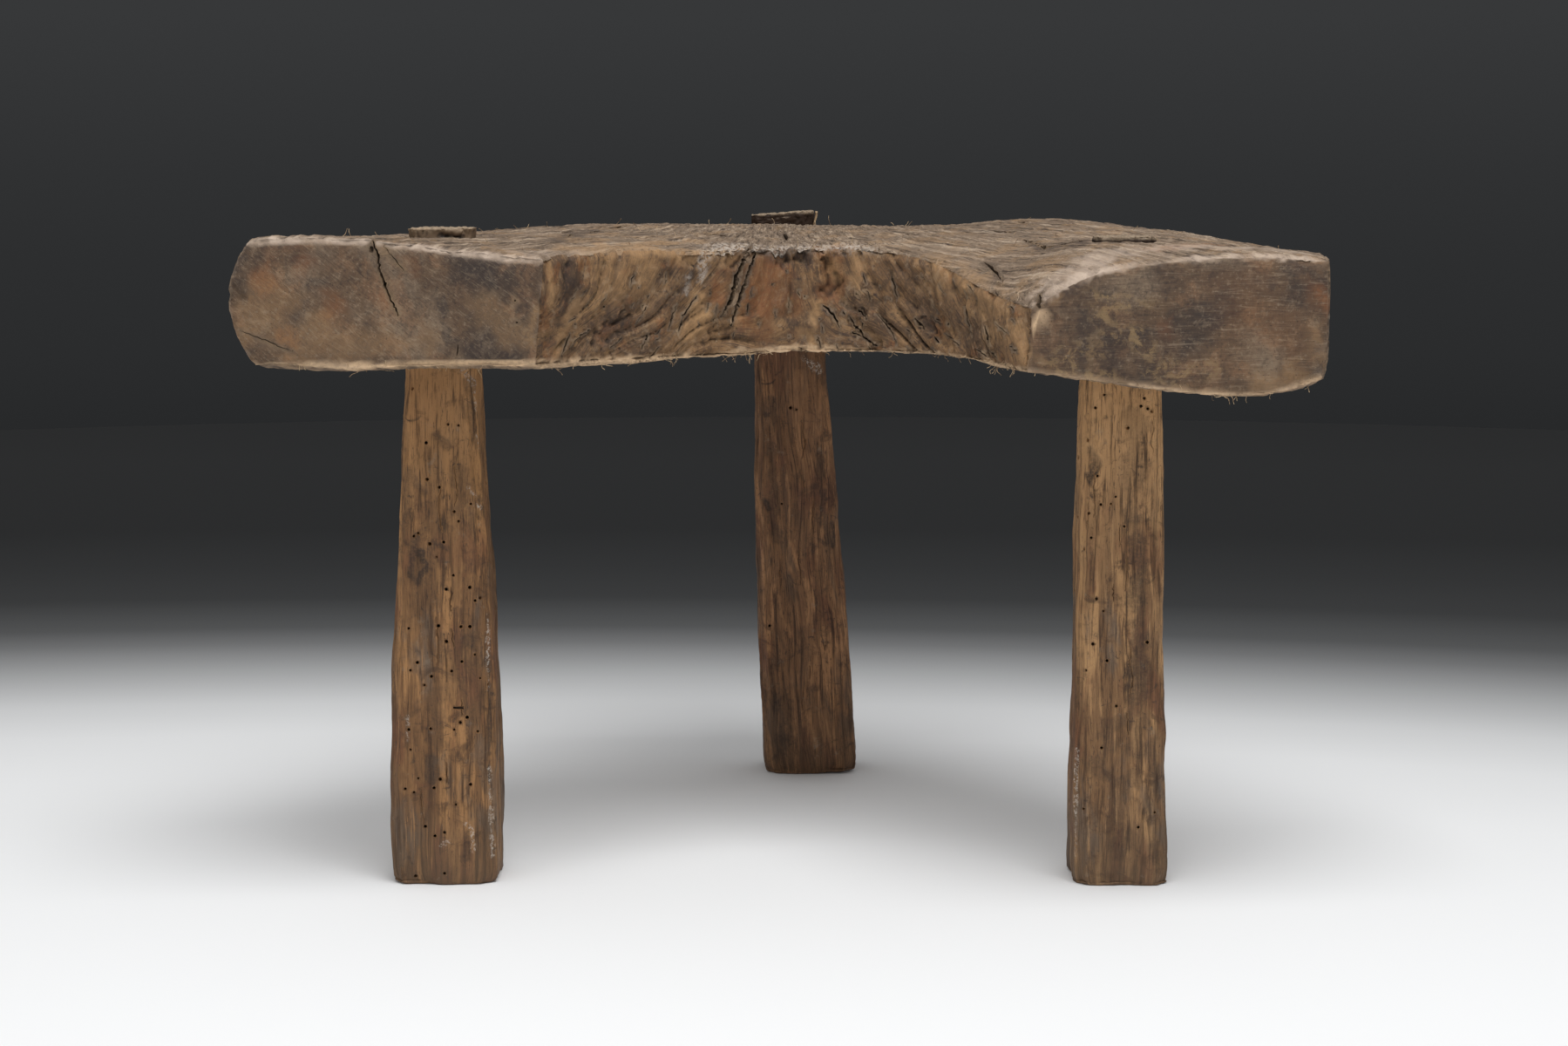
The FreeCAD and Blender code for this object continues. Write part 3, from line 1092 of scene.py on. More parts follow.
@dataclass
class Borer:
    """Cuts beetle holes: drills are set on sites and taken from the wood by a node tree."""

    facets: int = 9
    taper: float = 0.6
    depth: float = 7 * MM
    lead: float = 1.5 * MM
    tree: bpy.types.NodeTree = field(init=False)

    def __post_init__(self) -> None:
        """Builds the node tree once."""
        w = Carpentry("worm_holes", {"Wood": "Geometry", "Sites": "Object", "Depth": "Float", "Lead": "Float",
                                     "Facets": "Int", "Finish": "Material"}, "Wood")
        dots = w.first("GeometryNodeMeshToPoints", {"Mesh": w.mesh_of("Sites")})
        drill = w.first("GeometryNodeMeshCone", {"Vertices": w.given["Facets"], "Radius Top": 1.0,
                                                 "Radius Bottom": self.taper, "Depth": w.given["Depth"]})
        drop = w.first("ShaderNodeMath", {0: w.given["Lead"], 1: w.given["Depth"]}, operation="SUBTRACT")
        shift = w.first("ShaderNodeCombineXYZ", {"Z": drop})
        set_back = w.first("GeometryNodeTransform", {"Geometry": drill, "Translation": shift})
        # The drills carry painted shade onto the walls of the holes that they cut.
        dark = w.first("GeometryNodeStoreNamedAttribute", {"Geometry": set_back, "Name": Mark.BORE.value,
                                                           "Value": 1.0}, data_type="FLOAT", domain="POINT")
        aim = w.first("GeometryNodeInputNamedAttribute", {"Name": "aim"}, data_type="FLOAT_VECTOR")
        turn = w.first("FunctionNodeAlignRotationToVector", {"Vector": aim}, axis="Z")
        wide = w.first("GeometryNodeInputNamedAttribute", {"Name": "wide"}, data_type="FLOAT")
        size = w.first("ShaderNodeCombineXYZ", {"X": wide, "Y": wide, "Z": 1.0})
        drills = w.first("GeometryNodeInstanceOnPoints", {"Points": dots, "Instance": dark, "Rotation": turn,
                                                          "Scale": size})
        self.tree = w.end(w.cut_away(w.first("GeometryNodeRealizeInstances", {"Geometry": drills})))

    def cut(self, wood: Piece, sites: list[tuple[Vector, Vector, float]], finish: Material) -> None:
        """Drills the holes into a piece.

        Args:
            wood: the piece.
            sites: place, direction out of the wood, and radius of each hole.
            finish: the piece's material.
        """
        mesh = bpy.data.meshes.new("sites")
        mesh.from_pydata([spot for spot, _, _ in sites], [], [])
        store(mesh, "aim", [list(normal) for _, normal, _ in sites])
        store(mesh, "wide", [radius for _, _, radius in sites])
        marker = placed("sites", mesh)
        apply_tree(wood, self.tree, {"Sites": marker, "Depth": self.depth, "Lead": self.lead,
                                     "Facets": self.facets, "Finish": finish})
        bpy.data.objects.remove(marker)


def shown_sites(obj: Piece, pixels: tuple[Pixel, ...], view: Viewpoint, draw: np.random.Generator,
                least: float, most: float) -> list[tuple[Vector, Vector, float]]:
    """Finds the holes that the photograph shows.

    Args:
        obj: the piece.
        pixels: the holes' places in the photograph.
        view: the photograph's camera.
        draw: draws the holes' radii.
        least: the smallest radius, in millimetres.
        most: the largest radius.

    Returns:
        Place, outward direction and radius of each hole.
    """
    found = []
    for pixel in pixels:
        touched = view.touch(obj, pixel)
        if touched:
            found.append((*touched, draw.uniform(least, most) * MM))
    return found


@dataclass
class Shedder:
    """Grows stray fibres where the wood is frayed, with a node tree."""

    density: float = 380000.0
    long: float = 6.5 * MM
    thick: float = 0.15 * MM
    bend: float = 2.5 * MM
    shortest: float = 0.3
    joints: int = 7
    sides: int = 4
    seed: int = 5
    tree: bpy.types.NodeTree = field(init=False)

    def __post_init__(self) -> None:
        """Builds the node tree once."""
        w = Carpentry("stray_fibres",
                      {"Geometry": "Geometry", "Wood": "Object", "Density": "Float", "Long": "Float",
                       "Thick": "Float", "Bend": "Float", "Seed": "Int", "Finish": "Material"}, "Fibres")
        given, lean, roll = w.given, 1.1, 3.14
        wood = w.mesh_of("Wood")
        torn = w.first("GeometryNodeInputNamedAttribute", {"Name": Mark.SHED.value}, data_type="FLOAT")
        dense = w.first("ShaderNodeMath", {0: torn, 1: given["Density"]}, operation="MULTIPLY")
        spread = w.add("GeometryNodeDistributePointsOnFaces", {"Mesh": wood, "Density": dense,
                                                               "Seed": given["Seed"]})
        turn = w.first("FunctionNodeRandomValue", {"Min": (-lean, -lean, -roll), "Max": (lean, lean, roll),
                                                   "Seed": given["Seed"]}, data_type="FLOAT_VECTOR")
        aim = w.first("FunctionNodeRotateRotation", {"Rotation": spread.outputs["Rotation"],
                                                     "Rotate By": turn}, rotation_space="LOCAL")
        end = w.first("ShaderNodeCombineXYZ", {"Z": given["Long"]})
        stalk = w.first("GeometryNodeCurvePrimitiveLine", {"End": end})
        joints = w.first("GeometryNodeResampleCurve", {"Curve": stalk, "Count": self.joints})
        size = w.add("FunctionNodeRandomValue", {2: self.shortest, 3: 1.0, "Seed": given["Seed"]},
                     data_type="FLOAT")
        hairs = w.first("GeometryNodeInstanceOnPoints",
                        {"Points": spread.outputs["Points"], "Instance": joints, "Rotation": aim,
                         "Scale": size.outputs[1]})
        loose = w.first("GeometryNodeRealizeInstances", {"Geometry": hairs})
        share = w.add("GeometryNodeSplineParameter").outputs["Factor"]
        sway = w.add("ShaderNodeTexNoise", {"Scale": 160.0, "Detail": 1.0}).outputs["Color"]
        sway = w.first("ShaderNodeVectorMath", {0: sway, 1: (0.5, 0.5, 0.5)}, operation="SUBTRACT")
        reach = w.first("ShaderNodeMath", {0: share, 1: given["Bend"]}, operation="MULTIPLY")
        reach = w.first("ShaderNodeMath", {0: reach, 1: 4.0}, operation="MULTIPLY")
        drift = w.first("ShaderNodeVectorMath", {0: sway, "Scale": reach}, operation="SCALE")
        bent = w.first("GeometryNodeSetPosition", {"Geometry": loose, "Offset": drift})
        ring = w.first("GeometryNodeCurvePrimitiveCircle", {"Resolution": self.sides,
                                                            "Radius": given["Thick"]})
        self.tree = w.end(w.first("GeometryNodeCurveToMesh", {"Curve": bent, "Profile Curve": ring,
                                                              "Fill Caps": True}))

    def grow(self, wood: Piece, name: str) -> Piece:
        """Makes the fibres of a piece.

        Args:
            wood: the piece.
            name: the fibres' name.

        Returns:
            The fibres' piece.
        """
        obj = placed(name, bpy.data.meshes.new(name))
        apply_tree(obj, self.tree, {"Wood": wood, "Density": self.density, "Long": self.long,
                                    "Thick": self.thick, "Bend": self.bend, "Seed": self.seed,
                                    "Finish": SliverFinish(name).material()})
        return obj


@dataclass(frozen=True)
class SlabRelief:
    """How high and deep the slab's relief is, in millimetres."""

    swell: float = 1.6
    furrow: float = 1.0
    rough: float = 0.6
    crumbs: float = 0.3
    saw_swell: float = 0.5
    saw_rough: float = 0.22
    saw_crumbs: float = 0.2
    tear: float = 1.9
    deep_tear: float = 1.8
    tear_rough: float = 1.2
    tear_crumbs: float = 0.4
    lip_crumbs: float = 2.6
    lip_rough: float = 2.0
    lip_sink: float = 1.0
    left_arris: float = 3.2
    right_arris: float = 2.6
    low_arris: float = 1.2
    low_swell: float = 1.6
    low_crumbs: float = 0.3
    under: float = 2.4
    stem_arris: float = 1.8
    stem_chips: float = 2.2
    corner: float = 2.4
    fork_arris: float = 3.4
    fork_rough: float = 1.5
    ridge: float = 0.8


@dataclass
class Slab:
    """The forked seat with its sawn ends, torn crotch and worn top."""

    node: str = "seat"
    slot: str = "weathered_slab"
    grid: float = 1.25 * MM
    most: int = 192000
    left_saw: float = -201.56 * MM
    right_saw: float = -221.56 * MM
    stem_saw: float = 200.0 * MM
    height: float = 372 * MM
    mouth: tuple[float, float] = (20 * MM, -260 * MM)
    fork: float = 100 * MM
    fan: float = 0.64
    fan_reach: float = 50 * MM
    knot: float = 3.5
    knot_reach: float = 55 * MM
    seed: int = 11
    small_cracks: int = 70
    finish: SlabFinish = SlabFinish()
    depth: SlabRelief = SlabRelief()

    def build(self, borer: Borer, chisel: Chisel, view: Viewpoint) -> Piece:
        """Makes the slab's piece.

        Args:
            borer: cuts the beetle holes.
            chisel: opens the cracks.
            view: the photograph's camera, which places what it shows.

        Returns:
            The dressed piece.
        """
        obj = merged_copy(self.node, "seat_slab")
        regrid(obj, self.grid)
        surface = Surface(obj, self.node)
        zones = self.zones(surface)
        grain = self.grain(surface, zones)
        edges = self.edges(surface, zones)
        stains = stained(surface, SLAB_STAINS, view, self.seed + 7)
        edges["lip"] = self.shape(surface, zones, grain, edges, stains)
        surface.write()
        self.mark(surface, zones, grain, edges, stains)
        material = self.finish.material()
        obj.data.materials.append(material)
        chisel.cut(obj, list(SLAB_CRACKS) + self.tears(), view, self.seed + 9, material)
        draw = np.random.default_rng(self.seed + 5)
        borer.cut(obj, shown_sites(obj, SLAB_HOLES, view, draw, 0.5, 0.8), material)
        thin_out(obj, self.most)
        return obj

    def zones(self, surface: Surface) -> Shares:
        """Says which part of the slab each point belongs to.

        Args:
            surface: the slab's mesh.

        Returns:
            Shares from 0 to 1 for each zone.
        """
        x, y, _ = surface.points.T
        nx, ny, nz = surface.normals.T
        before, behind = 2.4 * MM, 0.8 * MM
        faces_front = ease(-ny, 0.35, 0.8)
        left = faces_front * ease(-y, -self.left_saw - before, -self.left_saw - behind) * (x < 0)
        right = faces_front * ease(-y, -self.right_saw - before, -self.right_saw - behind) * (x > 0)
        right = right + ease(ny, 0.6, 0.9) * ease(y, self.stem_saw - before, self.stem_saw)
        top = ease(nz, 0.45, 0.8)
        under = ease(-nz, 0.45, 0.8)
        to_mouth = nx * (self.mouth[0] - x) + ny * (self.mouth[1] - y)
        side = (1 - top) * (1 - under) * (1 - left) * (1 - right)
        inner = side * ease(to_mouth, 0.0, 0.02) * ease(-y, -0.02, 0.0)
        return {Mark.END_LEFT: left, Mark.END_RIGHT: right, Mark.TOP: top, Mark.UNDER: under,
                Mark.INNER: inner}

    def grain(self, surface: Surface, zones: Shares) -> np.ndarray:
        """Gives each point's place across and along the grain.

        Args:
            surface: the slab's mesh.
            zones: the slab's zones.

        Returns:
            One row for each point, in metres.
        """
        x, y, z = surface.points.T
        bend = Noise(self.seed + 4).layered(surface.points, 0.04, 2) * 4 * MM
        turn = self.fan * np.tanh(x / self.fan_reach)
        knotty = 1 + self.knot * bell(x, 0.0, self.knot_reach)
        along = y + self.fork
        flow = np.stack([x * np.cos(turn) + along * np.sin(turn) + bend, along * knotty, z], 1)
        down = self.height - z
        lean = 0.85 * bell(x, -0.052, 0.042) - 0.75 * bell(x, 0.07, 0.045)
        lean += 0.7 * ease(-x, 0.06, 0.1) * ease(down, 0.03, 0.06)
        torn = np.stack([x + bend + lean * down * (0.5 + 8 * down), z, y], 1)
        share = zones[Mark.INNER][:, None]
        return flow * (1 - share) + torn * share

    def edges(self, surface: Surface, zones: Shares) -> dict[str, np.ndarray]:
        """Says how near each point is to the slab's arrises.

        Args:
            surface: the slab's mesh.
            zones: the slab's zones.

        Returns:
            Closeness to the top, the underside, the sawn ends and any arris.
        """
        left = (surface.points[:, 0] < 0) * zones[Mark.END_LEFT]
        stack = np.stack([zones[Mark.TOP], zones[Mark.UNDER], left, zones[Mark.END_RIGHT],
                          zones[Mark.INNER]], 1)
        spread = surface.averaged(stack, 45)
        names = ("top", "under", "left", "right", "inner")
        near = {name: spread[:, index] for index, name in enumerate(names)}
        near["relief"] = surface.relief(10)
        return near

    def shape(self, surface: Surface, zones: Shares, grain: np.ndarray,
              edges: dict[str, np.ndarray], stains: Shares) -> np.ndarray:
        """Gives the slab the relief of hewing, tearing and wear.

        Args:
            surface: the slab's mesh.
            zones: the slab's zones.
            grain: place along the grain.
            edges: closeness to the arrises.
            stains: patches by the photograph, with dents in millimetres.

        Returns:
            How much each point belongs to the crumbled lip over the crotch.
        """
        points = surface.points
        one, two, three = Noise(self.seed), Noise(self.seed + 1), Noise(self.seed + 2)
        ends = np.clip(zones[Mark.END_LEFT] + zones[Mark.END_RIGHT], 0, 1)
        inner = zones[Mark.INNER]
        top = zones[Mark.TOP]
        rest = 1 - np.clip(ends + inner, 0, 1)
        swell = one.layered(points, 0.05, 3)
        furrow = two.ridged(grain, (0.005, 0.06, 0.05), 3) - 1
        torn = two.ridged(grain, (0.011, 0.035, 0.05), 3) - 1
        rough = three.layered(points, 6 * MM, 3)
        crumbs = three.layered(points, 3 * MM, 2)
        x, z = points[:, 0], points[:, 2]
        low_right = ease(x, 0.01, 0.08) * ease(-z, -0.35, -0.32)
        reach = ease(-np.abs(x - 0.006 + 8 * MM * swell), -0.062, -0.036) * ease(-points[:, 1], 0.04, 0.085)
        lip = ease(edges["top"] + 0.08 * rough, 0.04, 0.3) * inner + top * ease(-points[:, 1], 0.07, 0.095)
        lip = reach * np.clip(lip, 0, 1)
        deep = self.depth
        move = rest * (swell * deep.swell + furrow * deep.furrow + rough * deep.rough + crumbs * deep.crumbs)
        move += (ends * (swell * deep.saw_swell + rough * deep.saw_rough + crumbs * deep.saw_crumbs)
                 + rest * (1 - top) * (1 - zones[Mark.UNDER]) * furrow)
        move += inner * (torn * (deep.tear + deep.deep_tear * low_right) + rough * deep.tear_rough
                         + swell * deep.swell + crumbs * deep.tear_crumbs)
        move += lip * (crumbs * deep.lip_crumbs + rough * deep.lip_rough - deep.lip_sink)
        ragged = 0.55 + 0.6 * three.layered(points, 14 * MM, 4)
        chips = np.clip(ragged, 0, 2)
        arris = ease(4 * edges["top"] * edges["left"], 0.25, 0.95)
        move -= arris * deep.left_arris * np.clip(ragged, 0.25, 2)
        arris = ease(4 * edges["top"] * edges["right"], 0.35, 0.95)
        move -= arris * deep.right_arris * chips ** 2
        low = ease(4 * edges["under"] * (edges["left"] + edges["right"] + 0.6 * inner), 0.3, 0.95)
        move -= low * (deep.low_arris + deep.low_swell * three.layered(points, 40 * MM, 3)
                       + deep.low_crumbs * crumbs)
        move += zones[Mark.UNDER] * deep.under * three.layered(points, 75 * MM, 2)
        stem = 4 * edges["right"] * (1 - edges["right"]) * (points[:, 1] > 0)
        move -= ease(stem, 0.3, 0.95) * (deep.stem_arris + deep.stem_chips * chips)
        side = ease(4 * edges["inner"] * (edges["left"] + edges["right"]), 0.35, 0.95)
        move -= side * deep.corner * chips
        fork = ease(4 * edges["top"] * edges["inner"], 0.3, 1.0) * (1 - reach)
        move -= fork * (deep.fork_arris + deep.fork_rough * rough) * (0.55 + 0.45 * ease(-x, 0.0, 0.03))
        move -= ease(edges["relief"], 0.15 * MM, 0.9 * MM) * deep.ridge * ragged
        move -= stains.get(Mark.DENT, 0.0)
        surface.push(move * MM)
        return lip

    def mark(self, surface: Surface, zones: Shares, grain: np.ndarray,
             edges: dict[str, np.ndarray], stains: Shares) -> None:
        """Stores the values that the finish reads.

        Args:
            surface: the slab's mesh.
            zones: the slab's zones.
            grain: place along the grain.
            edges: closeness to the arrises, and the crumbled lip.
            stains: patches by the photograph.
        """
        ragged = Noise(self.seed + 3).layered(surface.points, 9 * MM, 4)
        ends = edges["left"] + edges["right"]
        inner, lip = zones[Mark.INNER], edges["lip"]
        under = edges["under"] + 0.05 * ragged
        # The pale band along the lower arris is frayed wood and partly a painted highlight of the light that
        # edge catches.
        band = np.maximum(0.23 + 0.2 * Noise(self.seed + 13).layered(surface.points, 60 * MM, 4), 0.1)
        fray = ease(under, band, band + 0.05)
        fray *= zones[Mark.END_LEFT] + 0.3 * zones[Mark.END_RIGHT] + 0.9 * inner
        at_corner = ease(under, 0.28, 0.42) * ease(ends + edges["inner"], 0.12, 0.4)
        fray += at_corner * (1 - 0.6 * ease(edges["right"], 0, 0.2))
        fray = np.clip(fray, 0, 1) * (0.95 + 0.4 * ragged) + stains.get(Mark.FRAY, 0.0)
        left_arris = ease(edges["top"] + 0.04 * ragged, 0.15, 0.21) * ease(edges["left"], 0.12, 0.3)
        right_arris = ease(edges["top"] + 0.1 * ragged, 0.36, 0.48) * ease(edges["right"], 0.04, 0.2)
        gaps = Noise(self.seed + 14).layered(surface.points, 25 * MM, 3)
        right_arris *= 0.35 + 0.65 * ease(gaps, -0.3, 0.3)
        arris = ease(edges["relief"] + 0.3 * MM * ragged, 0.35 * MM, 1.0 * MM) * (1 - zones[Mark.UNDER])
        smooth = stains.get(Mark.WORN, 0.0) * ease(zones[Mark.TOP] - ends, 0.0, 0.5)
        worn = np.clip(left_arris + 0.8 * right_arris + 0.5 * arris + smooth, 0, 1)
        clean = (1 - 0.8 * np.clip(left_arris + right_arris, 0, 1)) * (1 - 0.8 * np.clip(fray, 0, 1))
        for name, values in zones.items():
            surface.mark(name, values * clean if name in (Mark.END_LEFT, Mark.END_RIGHT) else values)
        for name in (Mark.DARK, Mark.PALE, Mark.WARM, Mark.LICHEN):
            surface.mark(name, stains.get(name, np.zeros(len(grain))) * clean)
        surface.mark(Mark.GRAIN, grain)
        # Painted shade: points that sink below their surroundings are darkened.
        surface.mark(Mark.HOLLOW, ease(-surface.relief(5), 0.2 * MM, 0.75 * MM))
        surface.mark(Mark.WORN, worn)
        surface.mark(Mark.FRAY, np.clip(fray, 0, 1))
        dust = lip * zones[Mark.TOP] + 0.35 * lip + stains.get(Mark.DUST, 0.0)
        surface.mark(Mark.DUST, np.clip(dust, 0, 1))
        surface.mark(Mark.BORE, np.zeros(len(grain)))
        clump = ease(Noise(self.seed + 15).layered(surface.points, 16 * MM, 2), 0.1, 0.5)
        hair = (ease(under, 0.3, 0.45) * (ends + edges["inner"]) * 0.8 + lip * 0.25
                + 0.004 * zones[Mark.TOP])
        surface.mark(Mark.SHED, np.clip(hair, 0, 1) * (0.08 + clump))

    def tears(self) -> list[Crack]:
        """Draws short tears along the crotch's grain.

        Returns:
            The tears, as cracks.
        """
        draw = np.random.default_rng(self.seed + 21)
        across, down = (650, 1165), (315, 405)
        tears = []
        for _ in range(self.small_cracks):
            x, y = draw.uniform(*across), draw.uniform(*down)
            slope = np.clip((890 - x) / 230, -1, 1) * (0.35 + (y - 300) / 90)
            rise = draw.uniform(4, 17)
            bend = draw.normal(0, 1.5)
            path = ((x - slope * rise / 2, y + rise / 2), (x + bend, y), (x + slope * rise / 2, y - rise / 2))
            tears.append(Crack(path, draw.uniform(0.5, 1.1), draw.uniform(1.2, 2.6)))
        return tears


@dataclass(frozen=True)
class PostRelief:
    """How high and deep a leg's relief is, in millimetres."""

    swell: float = 1.5
    sink: float = 0.3
    dents: float = 0.8
    furrow: float = 0.6
    wear: float = 1.1
    cap: float = 1.1
    bark: float = 0.9
    gouge: float = 1.1
    rim: float = 1.5


@dataclass
class Post:
    """One tapered leg with its through tenon."""

    node: str
    name: str
    slot: str
    finish: PostFinish
    head: Point
    foot: Point
    seed: int
    grid: float = 1.0 * MM
    most: int = 170000
    holes: tuple[Pixel, ...] = ()
    stains: tuple[Stain, ...] = ()
    cracks: tuple[Crack, ...] = ()
    strays: int = 30
    wave: float = 1.0
    raised: float = 0.0
    slope: float = 0.0
    flare: float = 0.0
    depth: PostRelief = PostRelief()

    def build(self, borer: Borer, chisel: Chisel, view: Viewpoint) -> Piece:
        """Makes the leg's piece.

        Args:
            borer: cuts the beetle holes.
            chisel: opens the cracks.
            view: the photograph's camera, which places what it shows.

        Returns:
            The dressed piece.
        """
        obj = merged_copy(self.node, self.name)
        regrid(obj, self.grid)
        surface = Surface(obj, self.node)
        grain = self.grain(surface)
        edge = surface.relief(10)
        stains = stained(surface, self.stains, view, self.seed + 7)
        self.shape(surface, grain, edge, stains)
        surface.write()
        self.mark(surface, grain, edge, stains)
        material = self.finish.material()
        obj.data.materials.append(material)
        chisel.cut(obj, list(self.cracks) + self.checks(), view, self.seed + 9, material)
        borer.cut(obj, self.sites(obj, view), material)
        thin_out(obj, self.most)
        return obj

    def grain(self, surface: Surface) -> np.ndarray:
        """Gives each point's place across and along the leaning leg.

        Args:
            surface: the leg's mesh.

        Returns:
            One row for each point, in metres.
        """
        head, foot = np.array(self.head), np.array(self.foot)
        share = (surface.points[:, 2:] - foot[2]) / (head[2] - foot[2])
        local = surface.points - (foot + (head - foot) * share)
        local[:, 2] = surface.points[:, 2]
        bend = Noise(self.seed + 2).layered(local, (0.02, 0.02, 0.05), 2)
        local[:, 0] += self.wave * 1.6 * MM * bend
        return local

    def shape(self, surface: Surface, grain: np.ndarray, edge: np.ndarray, stains: Shares) -> None:
        """Gives the leg the relief of hewing and wear.

        Args:
            surface: the leg's mesh.
            grain: place along the grain.
            edge: how far each point stands over its surroundings.
            stains: patches by the photograph; dark ones are hollow.
        """
        one, two = Noise(self.seed), Noise(self.seed + 1)
        height = surface.points[:, 2]
        side = 1 - ease(np.abs(surface.normals[:, 2]), 0.6, 0.9)
        free = side * (1 - 0.85 * ease(height, 0.29, 0.3))
        deep = self.depth
        swell = one.layered(grain, (0.026, 0.026, 0.05), 3) * deep.swell - deep.sink
        dents = one.layered(grain, (0.009, 0.009, 0.022), 3) * deep.dents
        furrow = (two.ridged(grain, (0.0045, 0.0045, 0.07), 3) - 1) * deep.furrow
        wear = -ease(edge, 0.2 * MM, 0.9 * MM) * (0.6 + 0.9 * two.layered(grain, 0.014, 3)) * deep.wear
        is_top = ease(surface.normals[:, 2], 0.6, 0.9)
        tip = ease(height, self.head[2] - 0.016, self.head[2] - 0.009)
        cap = (two.ridged(grain, (0.0024, 0.02, 0.02), 3) - 1) * deep.cap
        bark = (two.ridged(grain, (0.0022, 0.0022, 0.004), 3) - 1) * deep.bark * tip * side
        gouge = -deep.gouge * stains.get(Mark.DARK, 0.0) * (0.6 + 0.6 * two.layered(grain, 0.006, 3))
        surface.push((free * (swell + dents + furrow + gouge) + wear + bark + cap * is_top
                      - stains.get(Mark.DENT, 0.0)) * MM)
        self.seat_ends(surface, grain, one)

    def seat_ends(self, surface: Surface, grain: np.ndarray, noise: Noise) -> None:
        """Lifts the rim of the foot and shapes the head of the tenon.

        Args:
            surface: the leg's mesh.
            grain: place along the grain.
            noise: the leg's noise.
        """
        x, _, z = surface.points.T
        sole = surface.averaged((surface.normals[:, 2] < -0.7) * (z < 2 * MM), 25)
        rim = ease(1 - sole, 0.1, 0.5) * np.clip(1 - z / 0.008, 0, 1)
        lift = rim * self.depth.rim * MM * np.clip(0.7 + noise.layered(grain, 0.015, 2), 0.1, 1.3)
        lift += self.raised * MM * ease(x - self.foot[0], 0.0, 0.03) * np.clip(1 - z / 0.02, 0, 1)
        chips = np.clip(1 - z / 0.012, 0, 1) ** 2 * (1.4 + noise.layered(grain, 0.012, 3) * 2.2)
        surface.points[:, :2] -= grain[:, :2] * (chips * MM / 0.03)[:, None]
        tip = ease(z, self.head[2] - 0.012, self.head[2] - 0.001)
        surface.points[:, 0] += (x - self.head[0]) * self.flare * tip
        surface.points[:, 2] += lift - self.slope * MM * tip * ease(self.head[0] - x, -0.035, 0.035)
        np.clip(surface.points, surface.low, surface.high, out=surface.points)

    def mark(self, surface: Surface, grain: np.ndarray, edge: np.ndarray, stains: Shares) -> None:
        """Stores the values that the finish reads.

        Args:
            surface: the leg's mesh.
            grain: place along the grain.
            edge: how far each point stands over its surroundings.
            stains: patches by the photograph.
        """
        ragged = Noise(self.seed + 3).layered(grain, (8 * MM, 8 * MM, 20 * MM), 4)
        surface.mark(Mark.GRAIN, grain)
        # Painted shade: points that sink below their surroundings are darkened.
        surface.mark(Mark.HOLLOW, ease(-surface.relief(5), 0.13 * MM, 0.5 * MM))
        surface.mark(Mark.WORN, ease(edge + 0.35 * MM * ragged, 0.35 * MM, 1.0 * MM))
        heads = ease(surface.points[:, 2], 0.335, 0.355)
        up = ease(surface.normals[:, 2] + 0.25 * ragged, 0.2, 0.6)
        rim = ease(surface.points[:, 2] + 1.5 * MM * ragged, self.head[2] - 0.0028, self.head[2] - 0.0012)
        surface.mark(Mark.TOP, heads * np.maximum(up, 0.8 * rim))
        surface.mark(Mark.HEAD, heads)
        for name in (Mark.DARK, Mark.PALE, Mark.DUST):
            surface.mark(name, stains.get(name, np.zeros(len(grain))))
        surface.mark(Mark.BORE, np.zeros(len(grain)))

    def checks(self) -> list[Crack]:
        """Draws hair cracks along the leg's front.

        Returns:
            The cracks.
        """
        draw = np.random.default_rng(self.seed + 21)
        view = Viewpoint()
        cracks = []
        for _ in range(8):
            height = draw.uniform(0.03, 0.27)
            share = height / self.head[2]
            x = self.foot[0] + (self.head[0] - self.foot[0]) * share + draw.uniform(-0.022, 0.022)
            y = self.foot[1] + (self.head[1] - self.foot[1]) * share
            long = draw.uniform(0.004, 0.016)
            path = tuple(view.pixel((x + draw.normal(0, 0.0006), y, height + part * long))
                         for part in (-1, -0.3, 0.3, 1))
            cracks.append(Crack(path, draw.uniform(0.3, 0.5), draw.uniform(0.6, 1.2)))
        return cracks

    def sites(self, obj: Piece, view: Viewpoint) -> list[tuple[Vector, Vector, float]]:
        """Finds where the beetle holes go.

        Args:
            obj: the leg's piece.
            view: the photograph's camera.

        Returns:
            Place, outward direction and radius of each hole.
        """
        draw = np.random.default_rng(self.seed + 5)
        found = shown_sites(obj, self.holes, view, draw, 0.75, 1.2)
        while len(found) < len(self.holes) + self.strays:
            height, angle = draw.uniform(0.02, 0.28), draw.uniform(-0.1 * math.pi, 1.1 * math.pi)
            centre = Vector(self.foot).lerp(Vector(self.head), height / self.head[2])
            out = Vector((math.cos(angle), math.sin(angle), 0))
            hit, spot, normal, _ = obj.ray_cast(centre + out * 0.1, -out)
            if hit:
                found.append((spot, normal, draw.uniform(0.6, 1.15) * MM))
        return found


@dataclass
class Sliver:
    """The pale wedge beside the rear tenon."""

    node: str = "rear_tenon_wedge"
    slot: str = "pale_sliver"
    grid: float = 0.5 * MM
    seed: int = 61

    def build(self) -> Piece:
        """Makes the wedge's piece.

        Returns:
            The dressed piece.
        """
        obj = merged_copy(self.node, "tenon_sliver")
        regrid(obj, self.grid)
        surface = Surface(obj, self.node)
        noise = Noise(self.seed)
        surface.push((noise.ridged(surface.points, (2.5 * MM, 2.5 * MM, 0.03), 3) - 1) * 0.4 * MM)
        x, z = surface.points[:, 0], surface.points[:, 2]
        tip, shown = z.max(), 11 * MM
        left, right = x[z > tip - shown].min(), x[z > tip - shown].max()
        share = (2 * x - left - right) / (right - left)
        thin = 0.42 * share - 0.55 + 1.13 * ease(z, tip - shown, tip)
        out = ease(z, tip - 14 * MM, tip - 10 * MM)
        surface.points[:, 0] = (left + right) / 2 + (right - left) / 2 * (share + (thin - share) * out)
        surface.write()
        obj.data.materials.append(SliverFinish("pale_sliver").material())
        obj.data.shade_smooth()
        return obj


